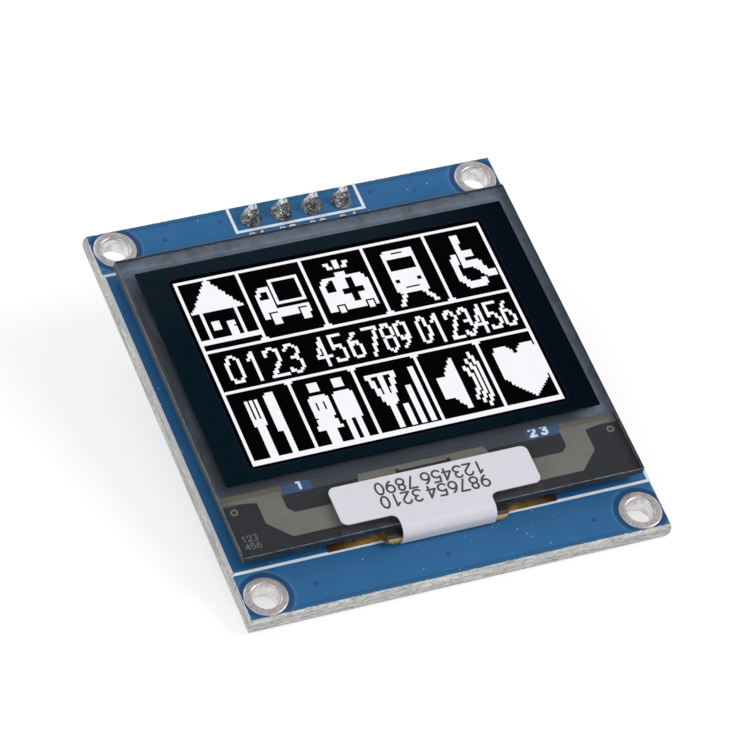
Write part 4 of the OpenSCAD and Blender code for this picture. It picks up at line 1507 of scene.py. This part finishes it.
@dataclass
class FlexCable:
    """Amber film that goes from behind the ledge round the glass edge and back to the board."""

    shoulder: float = 0.3
    neck: float = 5.25
    turns: tuple[float, float] = (0.2, -0.06)
    notch: tuple[float, float, float] = (0.7, 0.4, 124.0)
    film: float = 0.1
    head_half: float = 8.18
    head_length: float = 1.5
    hair: float = 0.004
    bend_gap: float = 0.02

    def build(self) -> None:
        """Makes the film on one path, and dresses the solder on its fingers.

        The path runs forward under the glass, half a turn round the fold and back along the board. The half
        width is the head's, then the neck's with a hollow quarter circle at each shoulder, then the tail's.
        Both shoulders have their own distance from the glass edge. A soft notch, given by its depth, its
        breadth and its angle round the fold, narrows the neck: it fades with the square of the distance along
        the path, as a bell curve does.
        """
        low, high = span("flex_cable")
        glass_front = span("front_glass")[0][1]
        radius = (high[2] - low[2]) / 2
        centre = low[1:] + radius
        upper, lower = (glass_front + turn for turn in self.turns)
        hair, bend = self.hair, centre[0] + self.bend_gap
        head = np.concatenate([np.linspace(upper + self.head_length, upper + hair, 4),
                               np.linspace(upper - hair, bend, 10)])
        tail = np.concatenate([np.linspace(bend, lower - hair, 10), np.linspace(lower + hair, high[1], 30)])
        fold = arc(*centre, radius, radius, 90, 270, 30)
        path = np.vstack([level(head, high[2]), fold, level(tail, low[2])])
        above = path[:, 1] > centre[1]
        wide_end = np.where(above, upper, lower)
        drop = quarter_rise(wide_end - path[:, 0], self.shoulder)
        along = np.concatenate([[0], np.cumsum(np.linalg.norm(np.diff(path, axis=0), axis=1))])
        depth, breadth, turn = self.notch
        middle = along[len(head)] + radius * math.radians(turn)
        waist = depth * np.exp(-((along - middle) / breadth) ** 2)
        ends = np.where(above, self.head_half, high[0])
        half = np.where(path[:, 0] > wide_end, ends, self.neck - drop - waist)
        form = swept_sheet(path, half, -self.film, 41)
        form.piece("flex_film", [FLEX], "flex", ["flex_cable"], sharp=50)
        dress("flex_solder", SOLDER)


@dataclass
class PaperLabel:
    """Paper label on the ledge, whose tongue goes over the glass edge."""

    straight: float = 3.45
    corner: float = 0.55
    paper: float = 0.08
    tongue: float = 3.8
    bulge: float = 0.8
    wrap: float = 40.0
    hair: float = 0.006
    body_gap: float = 0.1
    tongue_gap: float = 0.08
    digit_height: float = 1.03
    digit_pitch: float = 0.865
    stroke: float = 0.17
    tilt: float = 180.0 - 0.8
    word_x: tuple[float, float] = (1.68, -2.95)
    rows: tuple[tuple[float, tuple[int, ...]], ...] = (
        (-10.93, (1, 2, 3, 4, 5, 6, 7, 8, 9, 0)), (-12.18, (9, 8, 7, 6, 5, 4, 3, 2, 1, 0)))

    def build(self) -> None:
        """Makes the paper on its path and prints two rows of digits on it."""
        _, high = span("label")
        glass_low, glass_high = span("front_glass")
        self.base, self.edge = glass_high[2], glass_low[1]
        self.half, self.back = high[:2]
        path, half = self.outline(*span("flex_cable"))
        form = swept_sheet(path, half, self.paper, 33)
        form.piece("paper_label", [PAPER], "label", ["label"], sharp=50)
        self.print_rows()

    def outline(self, flex_low: Array, flex_high: Array) -> tuple[Array, Array]:
        """Path of the paper's inner face and its half width on the way.

        The path goes forward on the glass, round the glass edge on a quarter circle, straight down and on
        round the flex's fold. The half width is the paper's own with round corners, and after a hollow corner
        it is the tongue's.

        Args:
            flex_low: lowest corner of the flex cable.
            flex_high: its highest corner.

        Returns:
            Points (y, z) and the half width at each.
        """
        edge, r, front = self.edge, self.corner, self.back - self.straight
        quarter = np.sin(np.radians(np.linspace(0, 90, 9)))
        body = np.concatenate([self.back - r * (1 - quarter[::-1]),
                               np.linspace(self.back - r - self.body_gap, front + r + self.body_gap, 8),
                               front + r * (1 - quarter)])
        neck = front - self.hair
        y = np.concatenate([body, [neck], neck - r * quarter[1:],
                            np.linspace(front - r - self.tongue_gap, edge, 5)])
        over = arc(edge, self.base - self.bulge, self.bulge, self.bulge, 90, 180, 16)[1:]
        fold_r = (flex_high[2] - flex_low[2]) / 2
        fold = flex_low[1:] + fold_r
        down = np.column_stack([np.full(4, edge - self.bulge),
                                np.linspace(self.base - self.bulge, fold[1], 5)[1:]])
        under = arc(*fold, fold_r, fold_r, 180, 180 + self.wrap, 9)[1:]
        path = np.vstack([level(y, self.base), over, down, under])
        y = path[:, 0]
        depth = np.clip(np.maximum(y - (self.back - r), (front + r) - y), 0, r)
        round_part = self.half - r + np.sqrt(np.clip(r * r - depth ** 2, 0, None))
        hollow = self.tongue + r - quarter_rise(front - y, r)
        return path, np.where(np.arange(len(y)) < len(body), round_part, hollow)

    def print_rows(self) -> None:
        """Prints the digits upside down, as they are read from the pin side."""
        top = self.base + self.paper
        strokes = []
        for y, values in self.rows:
            for word, x in zip((values[:6], values[6:]), self.word_x):
                strokes += digit_row(word, self.digit_height, self.digit_pitch, (x, y), self.tilt)
        form = lines_form(strokes, self.stroke, top - LINE_SUNK, top + PRINT_RISE)
        form.piece("label_digits", [INK], "label")


@dataclass
class BackParts:
    """Chip parts, moulded parts and the coil on the board's back."""

    end: float = 0.3
    lip: float = 0.02
    edge: float = 0.04

    def build(self) -> None:
        """Dresses the parts that keep their shape and makes the small chip parts with their metal ends."""
        finishes = {"coil_core": FERRITE, "coil_terminals": LEAD, "part_solder": SOLDER}
        for part in ("regulator", "converter", "diode"):
            finishes |= {part + "_body": EPOXY, part + "_leads": LEAD}
        for node, finish in finishes.items():
            dress(node, finish)
        for kind, finish in (("capacitor", CERAMIC), ("resistor", ALUMINA)):
            for i in range(1, 7):
                self.chip(f"{kind}_{i}", finish, kind)

    def chip(self, node: str, finish: Finish, slot: str) -> None:
        """Chip part: a body between two slightly thicker metal ends, along its longer side.

        Args:
            node: the CAD part that it stands for.
            finish: the body's finish.
            slot: the record's material slot.
        """
        low, high = span(node)
        axis = int(np.argmax(high - low))
        near, far = high.copy(), low.copy()
        near[axis] = low[axis] + self.end
        far[axis] = high[axis] - self.end
        ends = box_form(low, near).marked(1) + box_form(far, high).marked(1)
        form = box_form(low + self.lip, high - self.lip) + ends
        form.piece(node + "_chip", [finish, LEAD], slot, [node], self.edge)


@dataclass
class Lamp:
    """One square soft light: where it is, its side and its power in watts."""

    name: str
    at: tuple[float, float, float]
    side: float
    watts: float

    def build(self, aim: Vector) -> None:
        """Adds the light, turned towards a point.

        Args:
            aim: the point, in metres.
        """
        data = bpy.data.lights.new(self.name, "AREA")
        data.energy, data.size, data.shape = self.watts, self.side, "SQUARE"
        thing = bpy.data.objects.new(self.name, data)
        thing.location = self.at
        thing.rotation_euler = (aim - Vector(self.at)).to_track_quat("-Z", "Y").to_euler()
        bpy.context.scene.collection.objects.link(thing)


@dataclass
class Studio:
    """Camera, lights, world and the floor that the module rests on."""

    azimuth: float = -33.2005
    elevation: float = 51.3091
    roll: float = 14.968
    distance: float = 338.41
    lens: float = 213.36
    sensor: float = 36.0
    target: tuple[float, float, float] = (0.1265, 0.3202, 1.6)
    floor_half: float = 900.0
    floor_gap: float = 0.02
    ambient: float = 0.4
    lamps: tuple[Lamp, ...] = (
        Lamp("key_light", (0.42, -0.1, 0.5), 0.3, 2.0),
        Lamp("side_light", (-0.45, -0.3, 0.4), 0.3, 1.15),
        Lamp("back_light", (-0.15, 0.5, 0.4), 0.35, 0.9))

    def build(self) -> None:
        """Sets up everything that isn't part of the module."""
        scene = bpy.context.scene
        scene.view_settings.view_transform = "Standard"
        for lamp in self.lamps:
            lamp.build(Vector((0, 0, 0)))
        self.world(scene)
        self.floor()
        self.camera(scene)

    def world(self, scene: bpy.types.Scene) -> None:
        """White for the view, a bright horizon that dims overhead for mirrors and glass, and an even light.

        Args:
            scene: the scene that gets the world.
        """
        world = bpy.data.worlds.new("studio")
        world.use_nodes = True
        world.node_tree.nodes.clear()
        nodes = Nodes(world.node_tree)
        up = nodes.axes(nodes.add("TexCoord", out="Generated"), 1.0)[2]
        mirrored = nodes.ray("Glossy", "Transmission")
        light = mirrored * up.ramp(0.15, 0.8, 0.95, 0.22, "SMOOTHSTEP") + (1.0 - mirrored) * self.ambient
        strength = light.maths("MAXIMUM", nodes.ray("Camera"))
        nodes.close("OutputWorld", nodes.add("Background", {"Color": "ffffff", "Strength": strength}))
        scene.world = world

    def floor(self) -> None:
        """Floor plane through the pins' tips and the board's front lower edge, which the module rests on."""
        pins, board = span("header_pin_1"), span("circuit_board")
        front_y = board[0][1]
        slope = pins[0][2] / ((pins[0][1] + pins[1][1]) / 2 - front_y)
        reach = self.floor_half
        corners = np.array([[x, y, slope * (y - front_y) - self.floor_gap] for x, y in
                            ((-reach, -reach), (reach, -reach), (reach, reach), (-reach, reach))])
        mesh = bpy.data.meshes.new("floor")
        mesh.from_pydata((corners * MM).tolist(), [], [[0, 1, 2, 3]])
        mesh.materials.append(StudioFloor("studio_floor").material())
        thing = bpy.data.objects.new("floor", mesh)
        bpy.context.scene.collection.objects.link(thing)

    def camera(self, scene: bpy.types.Scene) -> None:
        """Camera on a line from the target, given by azimuth and elevation, then rolled about its own axis.

        Args:
            scene: the scene that gets the camera.
        """
        a, e = math.radians(self.azimuth), math.radians(self.elevation)
        away = Vector((math.sin(a) * math.cos(e), -math.cos(a) * math.cos(e), math.sin(e)))
        data = bpy.data.cameras.new("camera")
        data.lens, data.sensor_width = self.lens, self.sensor
        data.clip_start, data.clip_end = 0.01, 10.0
        thing = bpy.data.objects.new("camera", data)
        turn = (-away).to_track_quat("-Z", "Y").to_matrix() @ Matrix.Rotation(math.radians(self.roll), 3, "Z")
        place = (Vector(self.target) + away * self.distance) * MM
        thing.matrix_world = Matrix.Translation(place) @ turn.to_4x4()
        scene.collection.objects.link(thing)
        scene.camera = thing


def main() -> None:
    """Builds the module's finishes and fine forms, then the studio."""
    logging.basicConfig(level=logging.INFO, format="%(name)s: %(message)s")
    for part in (CircuitBoard(), PinHeader(), DisplayPanel(), Ledge(), FlexCable(), PaperLabel(), BackParts(),
                 Studio()):
        log.info("building %s", type(part).__name__)
        part.build()


if __name__ == "__main__":
    main()
